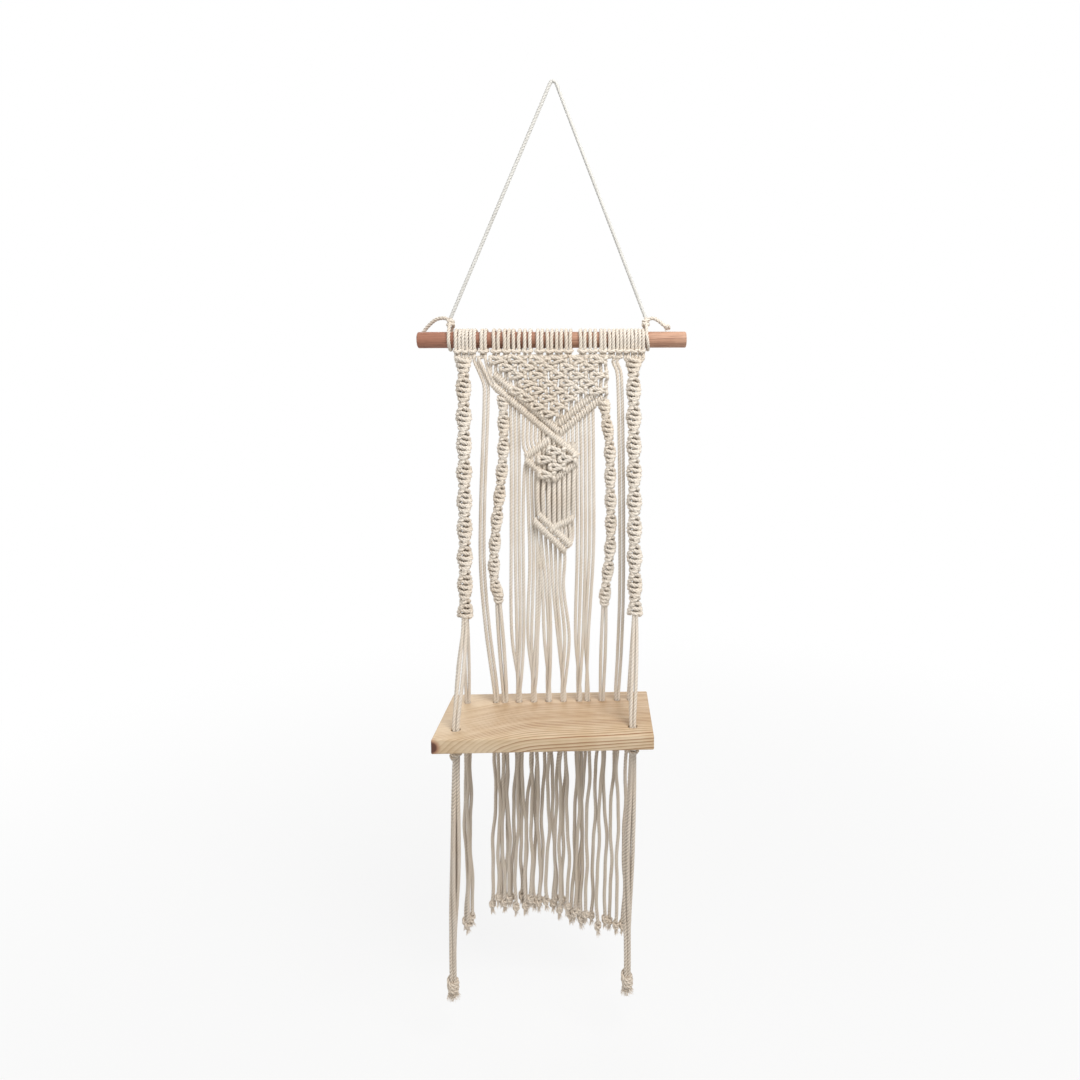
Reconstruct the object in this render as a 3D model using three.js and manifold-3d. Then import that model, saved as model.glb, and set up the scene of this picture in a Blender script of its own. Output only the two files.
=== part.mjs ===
// Hanging rope shelf: a pine board held by knotted cotton cords under a wooden dowel.
// Millimetres, +X to the right, +Y to the wall, +Z up. The origin is the hang point: the underside of
// the hanging cord where it bends over its wall fixing.

import * as THREE from 'three';
import { mergeVertices } from 'three/addons/utils/BufferGeometryUtils.js';
import Module from 'manifold-3d';

const wasm = await Module();
wasm.setup();

// Cord and clearance
const cordDiameter = 4;
const pulledCordDiameter = 3.8;
const touchGap = 0.3;
const cutOverrun = 1;

// Dowel
const dowelDiameter = 18;
const dowelLength = 300;
const dowelDrop = 282;
const dowelOffset = -3;
const dowelEndChamfer = 1.5;

// Row of lark's heads, in groups from left to right
const hitchPitch = 9.5;
const hitchRowOffset = -7.5;
const hitchGroups = [
  ['left_outer_hitches', 3],
  ['left_inner_hitches', 3],
  ['centre_hitches', 10],
  ['right_inner_hitches', 3],
  ['right_outer_hitches', 3],
];
const hitchBarDrop = 3.5;
const barMeetShare = 0.6;
const hitchStrandDrop = 11.6;

// Hanging cord, its wraps round the dowel and its knots
const fixingDiameter = 3;
const wrapClearOfRow = 4.5;
const hangingKnotHeight = 14;
const hangingKnotWidth = 10;
const hangingKnotSeat = 1;
const leftTailShares = [
  [0, 0.25, 0], [-1.25, 1, 1.75], [-4.25, 2, 1.75], [-7.5, 3, -0.75], [-9.25, 3.4, -3.25],
];
const rightTailShares = [
  [0, -0.12, 0], [1.25, -0.25, 2], [3, -0.38, 2.25], [5, -0.38, 1.25], [6.5, -0.25, -0.5],
];

// Board and its holes
const boardWidth = 228;
const boardDepth = 120;
const boardThickness = 15;
const boardDrop = 695;
const boardOffset = -11;
const boardEdgeRound = 1.2;
const cornerHoleInset = 21;
const rearHoleInset = 24;
const frontHoleInset = 24;
const rearHoleDiameter = 7.5;
const frontHoleDiameter = 9.5;
const rearHoleShares = [0, 0.174, 0.229, 0.3145, 0.406, 0.497, 0.588, 0.6855, 0.7355, 0.826, 0.92, 1];

// Outer sinnets, which lean forward to where their cords part
const outerSinnetWidth = 16.6;
const outerSinnetDepth = 12;
const outerSinnetPitch = 62;
const outerSinnetRings = 36;
const outerSinnetEndAboveBoard = 101;
const outerSinnetForward = 25;
const leftSinnetFromHole = 3;
const rightSinnetFromHole = 5;
const cordsPartedBy = 8.4;
const cornerGatherShare = 0.6;

// Inner sinnets
const innerSinnetWidth = 12.6;
const innerSinnetDepth = 10;
const innerSinnetPitch = 54;
const innerSinnetRings = 24;
const sinnetSides = 8;
const sinnetWaistShare = 0.86;

// Knotted panel, bands and leaf
const panelThickness = 7;
const panelRows = 8;
const panelGapWidthShare = 0.24;
const panelGapHeightShare = 0.42;
const panelGapDropShare = 0.15;
const panelGapEdgeShare = 0.4;
const panelShoulderDrop = 23.75;
const bandDiameter = 8.6;
const bandWaistShare = 0.84;
const bandSlantShare = 0.18;
const bandHitchPitch = 6.2;
const leafThickness = 7;
const leafGapRows = 5;
const leafGapWidth = 3.8;
const leafGapHeight = 4.75;
const cordPitch = 4.5;
const leafCordPitch = 5;

// Places in the work: across as a share of the row's width, down as a share of the drop to the board
const bandShares = {
  upperLeft: [[0.201, 0.0478], [0.543, 0.2109]],
  long: [[0.2177, 0.0883], [0.6507, 0.2994]],
  right: [[0.7823, 0.1389], [0.6005, 0.2021]],
};
const leafShares = [
  [0.378, 0.2767], [0.4785, 0.2666], [0.555, 0.2994], [0.6268, 0.3348], [0.6507, 0.3753],
  [0.6268, 0.4714], [0.5742, 0.5372], [0.512, 0.5018], [0.4785, 0.431], [0.4354, 0.3703],
];
const leafGapStartShares = [0.4797, 0.3146];
const leafGapStepShares = [0.0124, 0.0341];
const leafGapSideShares = [0.0455, 0.0126];
const leafCordFootShare = 0.2843;
const leafCordCentreShare = 0.4378;
const shortCordCentreShare = 0.5897;
const bundleCentreShares = [0.333, 0.427, 0.5024, 0.5787, 0.7139];
const firstBundleShares = [[0.311, 0.4562], [0.3014, 0.7597]];
const leftPairShares = [[0.1531, 0.2236], [0.1388, 0.4234], [0.1316, 0.608], [0.1531, 0.785]];
const rightPairShares = [[0.8833, 0.0642], [0.8847, 0.6586], [0.8708, 0.8609]];
const leftInnerTopShare = 0.2584;
const leftInnerShares = [
  [0.256, 0.2539], [0.2368, 0.3677], [0.2105, 0.479], [0.1938, 0.5928], [0.1962, 0.6459], [0.2153, 0.6864],
];
const rightInnerTopShare = 0.8014;
const rightInnerShares = [[0.823, 0.2539], [0.8254, 0.3677], [0.8244, 0.5372], [0.7904, 0.699]];

// Knots and fringe under the board
const rearKnotDiameter = 12;
const rearKnotHeight = 11;
const frontKnotDiameter = 15;
const frontKnotHeight = 13;
const stopperKnotShares = [[0.4, 0.08], [0.5, 0.4], [0.42, 0.8], [0, 1]];
const rearFringeDrop = 232;
const frontTasselDrop = 262;
const fringeSpread = 5.5;
const fringeUnevenShare = 0.06;
const fringeDepthShare = 0.9;
const fringeNeckShare = 0.8;
const fringeBulgeShare = 0.4;
const tasselKnotDiameter = 12;
const tasselKnotHeight = 14.4;
const rearStrands = [2, 2, 4, 4, 4, 3, 4, 3, 2, 4, 2, 2];

// What follows from the sizes above
const cordRadius = cordDiameter / 2;
const pulledRadius = pulledCordDiameter / 2;
const dowelRadius = dowelDiameter / 2;
const hitchCount = hitchGroups.reduce((sum, [, count]) => sum + count, 0);
const hitchSteps = 7;
const wrapSteps = 10;
const hangingBendSteps = 8;
const tailSteps = 7;
const hitchSides = 5;
const cordSides = 6;
const hangingCordSides = 8;
const dowelSides = 24;
const holeSides = 12;
const hitchTurn = 1.5 * Math.PI;
const hitchRadius = (dowelRadius + touchGap + pulledRadius) / Math.cos(hitchTurn / hitchSteps / 2);
const rowLeft = hitchRowOffset - (hitchCount * hitchPitch) / 2;
const rowRight = rowLeft + hitchCount * hitchPitch;
const dowelZ = -dowelDrop;
const barZ = dowelZ - hitchRadius - hitchBarDrop;
const workTop = barZ - pulledRadius - touchGap;
const panelY = -hitchRadius;
const outerHitches = hitchGroups[0][1];
const panelHitches = hitchCount - 2 * outerHitches;
const boardTop = -boardDrop;
const boardBottom = boardTop - boardThickness;
const cordFoot = boardTop + touchGap;
const boardRear = rearHoleInset;
const boardFront = boardRear - boardDepth;
const frontHoleY = boardFront + frontHoleInset;
const cornerHoleX = boardWidth / 2 - cornerHoleInset;
const leftHoleX = boardOffset - cornerHoleX;
const rightHoleX = boardOffset + cornerHoleX;
const rearHoles = rearHoleShares.map((share) => leftHoleX + share * (rightHoleX - leftHoleX));
const bundleReach = 0.42 * cordDiameter;
const bundleNeck = 3 * cordDiameter;
const sinnetCordReach = 0.3 * cordDiameter;
const cornerCordReach = 0.34 * cordDiameter;

// Across and down the work, from shares of the row's width and of the drop to the board
const workX = (share) => rowLeft + share * (rowRight - rowLeft);
const workZ = (share) => workTop + share * (boardTop - workTop);
const workPlace = ([across, down]) => [workX(across), workZ(down)];

// Materials
const cotton = () => new THREE.MeshStandardMaterial({ color: 0xe9dfcf, roughness: 0.95, metalness: 0 });
const stainedWood = () => new THREE.MeshStandardMaterial({ color: 0xb87a62, roughness: 0.6, metalness: 0 });
const pine = () => new THREE.MeshStandardMaterial({ color: 0xd9bd8e, roughness: 0.7, metalness: 0 });

// A route with one station at each listed point, so a tube gets its rings exactly there
class Route extends THREE.Curve {
  constructor(points) {
    super();
    this.points = points;
  }

  getPoint(share, target = new THREE.Vector3()) {
    const place = share * (this.points.length - 1);
    const index = Math.min(Math.floor(place), this.points.length - 2);
    return target.lerpVectors(this.points[index], this.points[index + 1], place - index);
  }

  getPointAt(share, target) {
    return this.getPoint(share, target);
  }

  getTangentAt(share, target = new THREE.Vector3()) {
    const last = this.points.length - 1;
    const index = Math.round(share * last);
    const before = this.points[Math.max(index - 1, 0)];
    const after = this.points[Math.min(index + 1, last)];
    const here = this.points[index];
    target.set(0, 0, 0);
    if (index > 0) target.add(here.clone().sub(before).normalize());
    if (index < last) target.add(after.clone().sub(here).normalize());
    return target.normalize();
  }
}

const at = (x, y, z) => new THREE.Vector3(x, y, z);

function regularShape(radius, sides) {
  const shape = new THREE.Shape();
  for (let side = 0; side < sides; side += 1) {
    const angle = (2 * Math.PI * (side + 0.5)) / sides;
    const point = [radius * Math.cos(angle), radius * Math.sin(angle)];
    if (side === 0) shape.moveTo(...point);
    else shape.lineTo(...point);
  }
  shape.closePath();
  return shape;
}

// Only positions are kept, shared vertices are merged and the faces are turned outwards
function closed(geometry) {
  geometry.deleteAttribute('normal');
  geometry.deleteAttribute('uv');
  const merged = mergeVertices(geometry, 1e-4);
  const position = merged.getAttribute('position');
  const index = merged.index.array;
  const corners = [at(0, 0, 0), at(0, 0, 0), at(0, 0, 0)];
  let volume = 0;
  for (let face = 0; face < index.length; face += 3) {
    corners.forEach((corner, k) => corner.fromBufferAttribute(position, index[face + k]));
    volume += corners[0].dot(corners[1].clone().cross(corners[2]));
  }
  if (volume < 0) {
    for (let face = 0; face < index.length; face += 3) {
      [index[face], index[face + 1]] = [index[face + 1], index[face]];
    }
  }
  merged.computeVertexNormals();
  return merged;
}

function tube(points, diameter, sides) {
  const options = { steps: points.length - 1, bevelEnabled: false, extrudePath: new Route(points) };
  return closed(new THREE.ExtrudeGeometry(regularShape(diameter / 2, sides), options));
}

const smooth = (points, steps) => new THREE.CatmullRomCurve3(points, false, 'centripetal').getPoints(steps);

function toSolid(geometry) {
  const vertProperties = Float32Array.from(geometry.getAttribute('position').array);
  const triVerts = Uint32Array.from(geometry.index.array);
  return new wasm.Manifold(new wasm.Mesh({ numProp: 3, vertProperties, triVerts }));
}

function toGeometry(solid) {
  const mesh = solid.getMesh();
  const geometry = new THREE.BufferGeometry();
  geometry.setAttribute('position', new THREE.BufferAttribute(Float32Array.from(mesh.vertProperties), 3));
  geometry.setIndex(new THREE.BufferAttribute(Uint32Array.from(mesh.triVerts), 1));
  return closed(geometry);
}

function join(geometries) {
  const solids = geometries.map(toSolid);
  return toGeometry(solids.slice(1).reduce((whole, solid) => whole.add(solid), solids[0]));
}

const cut = (body, tool) => toGeometry(toSolid(body).subtract(toSolid(tool)));

// A ring of points at each station of a route, joined into one closed skin
function ringed(stations, sides, ringPoint) {
  const positions = [];
  const index = [];
  stations.forEach((station, ring) => {
    for (let side = 0; side < sides; side += 1) {
      const point = ringPoint(station, ring, (2 * Math.PI * side) / sides);
      positions.push(point.x, point.y, point.z);
    }
  });
  for (let ring = 0; ring + 1 < stations.length; ring += 1) {
    for (let side = 0; side < sides; side += 1) {
      const here = ring * sides + side;
      const next = ring * sides + ((side + 1) % sides);
      index.push(here, next, here + sides, next, next + sides, here + sides);
    }
  }
  const lastRing = (stations.length - 1) * sides;
  for (let side = 1; side + 1 < sides; side += 1) {
    index.push(0, side + 1, side, lastRing, lastRing + side, lastRing + side + 1);
  }
  const geometry = new THREE.BufferGeometry();
  geometry.setAttribute('position', new THREE.Float32BufferAttribute(positions, 3));
  geometry.setIndex(index);
  return closed(geometry);
}

// The least clear space between stretches of one tube that aren't neighbours along it
function leastGapToItself(points, diameter) {
  const samples = [];
  const lengths = [];
  let length = 0;
  for (let leg = 0; leg + 1 < points.length; leg += 1) {
    const span = points[leg].distanceTo(points[leg + 1]);
    const parts = Math.ceil((span * 4) / diameter);
    for (let part = 0; part < parts; part += 1) {
      samples.push(points[leg].clone().lerp(points[leg + 1], part / parts));
      lengths.push(length + (span * part) / parts);
    }
    length += span;
  }
  let least = Infinity;
  for (let first = 0; first < samples.length; first += 1) {
    for (let second = first + 1; second < samples.length; second += 1) {
      if (lengths[second] - lengths[first] > 2.2 * diameter) {
        least = Math.min(least, samples[first].distanceTo(samples[second]) - diameter);
      }
    }
  }
  return least;
}

function piece(name, geometry, material) {
  const mesh = new THREE.Mesh(geometry, material);
  mesh.name = name;
  return mesh;
}

// Dowel
function makeDowel() {
  const half = dowelLength / 2;
  const profile = [
    [0, -half],
    [dowelRadius - dowelEndChamfer, -half],
    [dowelRadius, -half + dowelEndChamfer],
    [dowelRadius, half - dowelEndChamfer],
    [dowelRadius - dowelEndChamfer, half],
    [0, half],
  ].map(([radius, along]) => new THREE.Vector2(radius, along));
  const dowel = piece('dowel', closed(new THREE.LatheGeometry(profile, dowelSides)), stainedWood());
  dowel.rotation.z = -Math.PI / 2;
  dowel.position.set(dowelOffset, 0, dowelZ);
  return dowel;
}

// Half a lark's head: up the dowel's front, over, down the back, under it and out to the bar's end.
// A bar meets the next one of its group, and stays clear of the next group's.
function hitchHalf(x, side, meetsNext) {
  const strandX = x + (side * hitchPitch) / 4;
  const barClear = meetsNext ? pulledRadius * barMeetShare : pulledRadius + touchGap / 2;
  const points = [at(strandX, -hitchRadius, dowelZ - hitchStrandDrop + pulledRadius / 2)];
  for (let step = 0; step <= hitchSteps; step += 1) {
    const angle = (hitchTurn * step) / hitchSteps;
    points.push(at(strandX, -hitchRadius * Math.cos(angle), dowelZ + hitchRadius * Math.sin(angle)));
  }
  points.push(at(x + side * (hitchPitch / 2 - barClear), -hitchRadius + pulledRadius, barZ));
  points.push(at(x + (side * hitchPitch) / 8, -hitchRadius, barZ));
  return points;
}

const hitchRoute = (x, meetsLeft, meetsRight) => (
  [...hitchHalf(x, -1, meetsLeft), ...hitchHalf(x, 1, meetsRight).reverse()]
);

function makeHitches() {
  const groups = [];
  let placed = 0;
  for (const [name, count] of hitchGroups) {
    const hitches = [];
    for (let index = 0; index < count; index += 1) {
      const x = rowLeft + (placed + index + 0.5) * hitchPitch;
      hitches.push(tube(hitchRoute(x, index > 0, index + 1 < count), pulledCordDiameter, hitchSides));
    }
    groups.push(piece(name, join(hitches), cotton()));
    placed += count;
  }
  return groups;
}

// Knots of plain outline, with their poles on the cord's line
function knotGeometry(width, height, x, y, z) {
  const knot = new THREE.SphereGeometry(1, 8, 6);
  knot.rotateX(Math.PI / 2);
  knot.scale(width / 2, width / 2, height / 2);
  knot.translate(x, y, z);
  return closed(knot);
}

const hangingKnotZ = dowelZ + dowelRadius + hangingKnotSeat + hangingKnotHeight / 2;
const leftWrapX = rowLeft - wrapClearOfRow;
const rightWrapX = rowRight + wrapClearOfRow;

// A wrap leaves the knot, goes down the dowel's front, under it and up the back into the knot again
function wrapRoute(x, lean) {
  const points = [at(x, 0, hangingKnotZ)];
  for (let step = 0; step <= wrapSteps; step += 1) {
    const angle = Math.PI / 3 - ((5 * Math.PI) / 3) * (step / wrapSteps);
    const along = lean * Math.sin(Math.PI * (step / wrapSteps));
    points.push(at(x + along, -hitchRadius * Math.cos(angle), dowelZ + hitchRadius * Math.sin(angle)));
  }
  points.push(at(x, 0, hangingKnotZ + hangingKnotWidth / 8));
  return points;
}

function makeHangingKnot(name, x, lean, tailShares) {
  const tailPoints = tailShares.map(([across, back, up]) => (
    at(x + across * cordDiameter, back * cordDiameter, hangingKnotZ + up * cordDiameter)
  ));
  const tail = tube(smooth(tailPoints, tailSteps), cordDiameter, cordSides);
  const wrap = tube(wrapRoute(x, lean), pulledCordDiameter, hitchSides);
  const knot = knotGeometry(hangingKnotWidth, hangingKnotHeight, x, 0, hangingKnotZ);
  return piece(name, join([knot, wrap, tail]), cotton());
}

function makeHangingCord() {
  const bend = (fixingDiameter + cordDiameter) / 2;
  const centreZ = -fixingDiameter / 2;
  const footZ = hangingKnotZ + hangingKnotHeight / 2 + touchGap;
  const rise = centreZ - footZ;
  const leftLean = Math.atan2(rise, -leftWrapX) + Math.asin(bend / Math.hypot(rise, leftWrapX));
  const rightLean = Math.atan2(rise, rightWrapX) + Math.asin(bend / Math.hypot(rise, rightWrapX));
  const bendStart = Math.PI / 2 + leftLean;
  const bendEnd = Math.PI / 2 - rightLean;
  const points = [at(leftWrapX, 0, footZ)];
  for (let step = 0; step <= hangingBendSteps; step += 1) {
    const angle = bendStart + ((bendEnd - bendStart) * step) / hangingBendSteps;
    points.push(at(bend * Math.cos(angle), 0, centreZ + bend * Math.sin(angle)));
  }
  points.push(at(rightWrapX, 0, footZ));
  return piece('hanging_cord', tube(points, cordDiameter, hangingCordSides), cotton());
}

// Sinnets: a two-lobed section that turns as it goes down, with a waist between knots
function sinnet(route, rings, width, depth, pitch) {
  const curve = new THREE.CatmullRomCurve3(route, false, 'centripetal');
  const stations = curve.getSpacedPoints(rings);
  const length = curve.getLength();
  return ringed(stations, sinnetSides, (station, ring, angle) => {
    const turn = (2 * Math.PI * length * ring) / rings / pitch;
    const waist = ring % 2 === 0 ? sinnetWaistShare : 1;
    const across = (width / 2) * waist * Math.cos(angle);
    const through = (depth / 2) * waist * Math.sin(angle);
    const x = across * Math.cos(turn) - through * Math.sin(turn);
    const y = across * Math.sin(turn) + through * Math.cos(turn);
    return at(station.x + x, station.y + y, station.z);
  });
}

// Depth of the work, from the dowel's front down to the rear holes
const depthAt = (z) => (panelY * (z - boardTop)) / (workTop - boardTop);
const hangAt = (x, z) => at(x, depthAt(z), z);

const outerSinnetEnd = boardTop + outerSinnetEndAboveBoard;
const outerSinnets = [
  ['left', leftHoleX, leftHoleX + leftSinnetFromHole],
  ['right', rightHoleX, rightHoleX + rightSinnetFromHole],
];
const outerSinnetRoute = (x) => [at(x, panelY, workTop), at(x, -outerSinnetForward, outerSinnetEnd)];

// Bands: rows of double half hitches, given by the two ends of their centre line
const bandLine = (shares) => shares.map(workPlace).map(([x, z]) => at(x, panelY, z));
const bands = {
  upperLeft: bandLine(bandShares.upperLeft),
  long: bandLine(bandShares.long),
  right: bandLine(bandShares.right),
};
const rightBandStep = bandDiameter - touchGap;

// The upward normal of a line in the work's plane
function lineNormal([start, end]) {
  const direction = end.clone().sub(start).normalize();
  return direction.x > 0 ? at(-direction.z, 0, direction.x) : at(direction.z, 0, -direction.x);
}

function shiftedLine(line, distance) {
  const shift = lineNormal(line).multiplyScalar(distance);
  return line.map((point) => point.clone().add(shift));
}

function crossing([a, b], [c, d]) {
  const one = b.clone().sub(a);
  const two = d.clone().sub(c);
  const share = ((c.x - a.x) * two.z - (c.z - a.z) * two.x) / (one.x * two.z - one.z * two.x);
  return a.clone().addScaledVector(one, share);
}

function band(line) {
  const [start, end] = line;
  const direction = end.clone().sub(start).normalize();
  const across = lineNormal(line);
  const hitches = Math.round(start.distanceTo(end) / bandHitchPitch);
  const stations = Array.from({ length: 2 * hitches + 1 }, (_, k) => (
    start.clone().lerp(end, k / (2 * hitches))
  ));
  return ringed(stations, cordSides, (station, ring, angle) => {
    const radius = (bandDiameter / 2) * (ring % 2 === 0 ? bandWaistShare : 1);
    const point = station.clone().addScaledVector(across, radius * Math.cos(angle));
    point.y += radius * Math.sin(angle);
    const isEnd = ring === 0 || ring === stations.length - 1;
    return isEnd ? point : point.addScaledVector(direction, radius * Math.cos(angle) * bandSlantShare);
  });
}

// Height just clear of a band's lower side, for a piece of the given half width at x
function underBand([start, end], x, halfWidth) {
  const slope = Math.abs((end.z - start.z) / (end.x - start.x));
  const centreZ = start.z + ((end.z - start.z) * (x - start.x)) / (end.x - start.x);
  return centreZ - (bandDiameter / 2) * Math.hypot(1, slope) - halfWidth * slope - touchGap;
}

const rightLowerBand = shiftedLine(bands.right, -rightBandStep);

// Places of cords that lie side by side about a centre
const sideBySide = (count, centre, pitch) => (
  Array.from({ length: count }, (_, index) => centre + (index - (count - 1) / 2) * pitch)
);

function makeBands() {
  const shortCords = sideBySide(4, workX(shortCordCentreShare), cordPitch).map((x) => {
    const top = underBand(rightLowerBand, Math.max(x, rightLowerBand[1].x), cordRadius);
    return tube([at(x, panelY, top), at(x, panelY, bandCentreZ(bands.long, x))], cordDiameter, cordSides);
  });
  return [
    piece('upper_left_band', band(bands.upperLeft), cotton()),
    piece('long_band', join([band(bands.long), ...shortCords]), cotton()),
    piece('right_bands', join([band(bands.right), band(rightLowerBand)]), cotton()),
  ];
}

function bandCentreZ([start, end], x) {
  return start.z + ((end.z - start.z) * (x - start.x)) / (end.x - start.x);
}

// Knotted panel: rows of alternating square knots, with a gap between each four knots
function makeKnottedPanel() {
  const clear = bandDiameter / 2 + touchGap * 2;
  const leftEdge = shiftedLine(bands.upperLeft, clear);
  const rightEdge = shiftedLine(bands.right, clear);
  const apex = crossing(leftEdge, rightEdge);
  const width = panelHitches * hitchPitch;
  const left = rowLeft + outerHitches * hitchPitch;
  const outline = [
    [left + hitchPitch + touchGap, workTop],
    [leftEdge[0].x, leftEdge[0].z],
    [apex.x, apex.z],
    [rightEdge[0].x, rightEdge[0].z],
    [rightEdge[0].x + hitchPitch / 2, rightEdge[0].z + panelShoulderDrop],
    [left + width - hitchPitch - touchGap, workTop],
  ];
  const shape = new THREE.Shape(outline.map(([x, z]) => new THREE.Vector2(x, z)));
  const rowPitch = (workTop - apex.z) / panelRows;
  const knotPitch = 2 * hitchPitch;
  for (let row = 1; row < panelRows; row += 1) {
    const z = workTop - (row - panelGapDropShare) * rowPitch;
    const from = edgeX(outline[1], outline[2], z, outline[0][0]);
    const to = edgeX(outline[3], outline[2], z, outline[5][0] - hitchPitch / 2);
    const first = left + (row % 2 === 0 ? knotPitch / 2 : 0);
    for (let x = first; x < to; x += knotPitch) {
      const inside = x > from + knotPitch * panelGapEdgeShare && x < to - knotPitch * panelGapEdgeShare;
      const gap = [knotPitch * panelGapWidthShare, rowPitch * panelGapHeightShare];
      if (inside) shape.holes.push(diamond(x, z, ...gap));
    }
  }
  const panel = new THREE.ExtrudeGeometry(shape, { depth: panelThickness, bevelEnabled: false });
  panel.rotateX(Math.PI / 2);
  panel.translate(0, panelY + panelThickness / 2, 0);
  return piece('knotted_panel', closed(panel), cotton());
}

// The x of a sloping edge at height z, or the given limit above the edge's upper end
function edgeX(upper, lower, z, limit) {
  if (z > upper[1]) return limit;
  return upper[0] + ((lower[0] - upper[0]) * (z - upper[1])) / (lower[1] - upper[1]);
}

function diamond(x, z, width, height) {
  const corners = [[-width / 2, 0], [0, -height / 2], [width / 2, 0], [0, height / 2]];
  return new THREE.Path(corners.map(([dx, dz]) => new THREE.Vector2(x + dx, z + dz)));
}

// Leaf: a pointed field of square knots that hangs from the long band by its own cords
const leafOutline = leafShares.map(workPlace);

function lowerEdgeZ(outline, x, halfWidth) {
  let lowest = Infinity;
  for (const probe of [x - halfWidth, x, x + halfWidth]) {
    outline.forEach((start, index) => {
      const end = outline[(index + 1) % outline.length];
      const between = (start[0] - probe) * (end[0] - probe) <= 0 && start[0] !== end[0];
      if (between) {
        const z = start[1] + ((end[1] - start[1]) * (probe - start[0])) / (end[0] - start[0]);
        lowest = Math.min(lowest, z);
      }
    });
  }
  for (const [cornerX, cornerZ] of outline) {
    if (Math.abs(cornerX - x) <= halfWidth) lowest = Math.min(lowest, cornerZ);
  }
  return lowest;
}

function makeLeaf() {
  const shape = new THREE.Shape(leafOutline.map(([x, z]) => new THREE.Vector2(x, z)));
  for (let row = 0; row < leafGapRows; row += 1) {
    for (let side = 0; side < 2; side += 1) {
      const share = (index) => (
        leafGapStartShares[index] + row * leafGapStepShares[index] + side * leafGapSideShares[index]
      );
      shape.holes.push(diamond(workX(share(0)), workZ(share(1)), leafGapWidth, leafGapHeight));
    }
  }
  const plate = new THREE.ExtrudeGeometry(shape, { depth: leafThickness, bevelEnabled: false });
  plate.rotateX(Math.PI / 2);
  plate.translate(0, panelY + leafThickness / 2, 0);
  const cords = sideBySide(5, workX(leafCordCentreShare), leafCordPitch).map((x) => {
    const top = underBand(bands.long, x, cordRadius);
    return tube([at(x, panelY, top), at(x, panelY, workZ(leafCordFootShare))], cordDiameter, cordSides);
  });
  return piece('leaf', join([closed(plate), ...cords]), cotton());
}

// Cords that run together into one rear hole, each from its own top
function bundle(name, holeX, tops, middle = []) {
  const cords = tops.map((top, index) => {
    const angle = (2 * Math.PI * (index + 0.25)) / tops.length;
    const footX = holeX + bundleReach * Math.cos(angle);
    const footY = bundleReach * Math.sin(angle);
    const share = (index + 0.5) / tops.length - 0.5;
    const shift = share * tops.length * (cordDiameter + touchGap);
    const through = middle.map(workPlace).map(([x, z]) => hangAt(x + shift, z));
    const neck = at(footX, footY, cordFoot + bundleNeck);
    const lead = at(top.x, top.y, top.z - cordRadius);
    return tube([top, lead, ...through, neck, at(footX, footY, cordFoot)], cordDiameter, cordSides);
  });
  return piece(name, join(cords), cotton());
}

function makePanelCords() {
  const belowBand = (line) => (x) => at(x, panelY, underBand(line, x, cordRadius));
  const belowLeaf = (x) => at(x, panelY, lowerEdgeZ(leafOutline, x, cordRadius) - touchGap);
  const centres = bundleCentreShares.map(workX);
  const leftTops = sideBySide(4, centres[0], cordPitch).map(belowBand(bands.long));
  const rightTops = sideBySide(5, centres[4], cordPitch).map(belowBand(rightLowerBand));
  return [
    bundle('panel_cords_1', rearHoles[3], leftTops, firstBundleShares),
    bundle('panel_cords_2', rearHoles[4], sideBySide(4, centres[1], cordPitch).map(belowLeaf)),
    bundle('panel_cords_3', rearHoles[5], sideBySide(3, centres[2], cordPitch).map(belowLeaf)),
    bundle('panel_cords_4', rearHoles[6], sideBySide(4, centres[3], cordPitch).map(belowLeaf)),
    bundle('panel_cords_5', rearHoles[7], rightTops.slice(0, 3)),
    bundle('panel_cords_6', rearHoles[8], rightTops.slice(3)),
  ];
}

function makeStraightPairs() {
  const leftX = rowLeft + (outerHitches + 0.5) * hitchPitch;
  const rightX = rowRight - (outerHitches + 0.5) * hitchPitch;
  const spread = (cordDiameter + touchGap) / 2;
  const tops = (x) => [at(x - spread, panelY, workTop), at(x + spread, panelY, workTop)];
  return [
    bundle('left_straight_pair', rearHoles[1], tops(leftX), leftPairShares),
    bundle('right_straight_pair', rearHoles[10], tops(rightX), rightPairShares),
  ];
}

// Inner sinnets, each with the cords that leave its foot for one rear hole
function makeInnerSinnet(name, holeX, route) {
  const points = route.map(([x, z]) => hangAt(x, z));
  const knots = sinnet(points, innerSinnetRings, innerSinnetWidth, innerSinnetDepth, innerSinnetPitch);
  const foot = points[points.length - 1];
  const cords = [-1, 1].flatMap((across) => [-1, 1].map((through) => {
    const shift = [across * sinnetCordReach, through * sinnetCordReach];
    const start = at(foot.x + shift[0], foot.y + shift[1], foot.z + cordDiameter);
    const end = at(holeX + shift[0], shift[1], cordFoot);
    return tube([start, end], cordDiameter, cordSides);
  }));
  return piece(name, join([knots, ...cords]), cotton());
}

function makeSinnets() {
  const outer = outerSinnets.map(([side, , x]) => {
    const knots = sinnet(
      outerSinnetRoute(x), outerSinnetRings, outerSinnetWidth, outerSinnetDepth, outerSinnetPitch,
    );
    return piece(`${side}_outer_sinnet`, knots, cotton());
  });
  const topUnder = (line, x) => [x, underBand(line, x, innerSinnetWidth / 2)];
  const leftTop = topUnder(bands.long, workX(leftInnerTopShare));
  const leftRoute = [leftTop, ...leftInnerShares.map(workPlace)];
  const rightTop = topUnder(rightLowerBand, workX(rightInnerTopShare));
  const rightRoute = [rightTop, ...rightInnerShares.map(workPlace)];
  return [
    ...outer,
    makeInnerSinnet('left_inner_sinnet', rearHoles[2], leftRoute),
    makeInnerSinnet('right_inner_sinnet', rearHoles[9], rightRoute),
  ];
}

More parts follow.
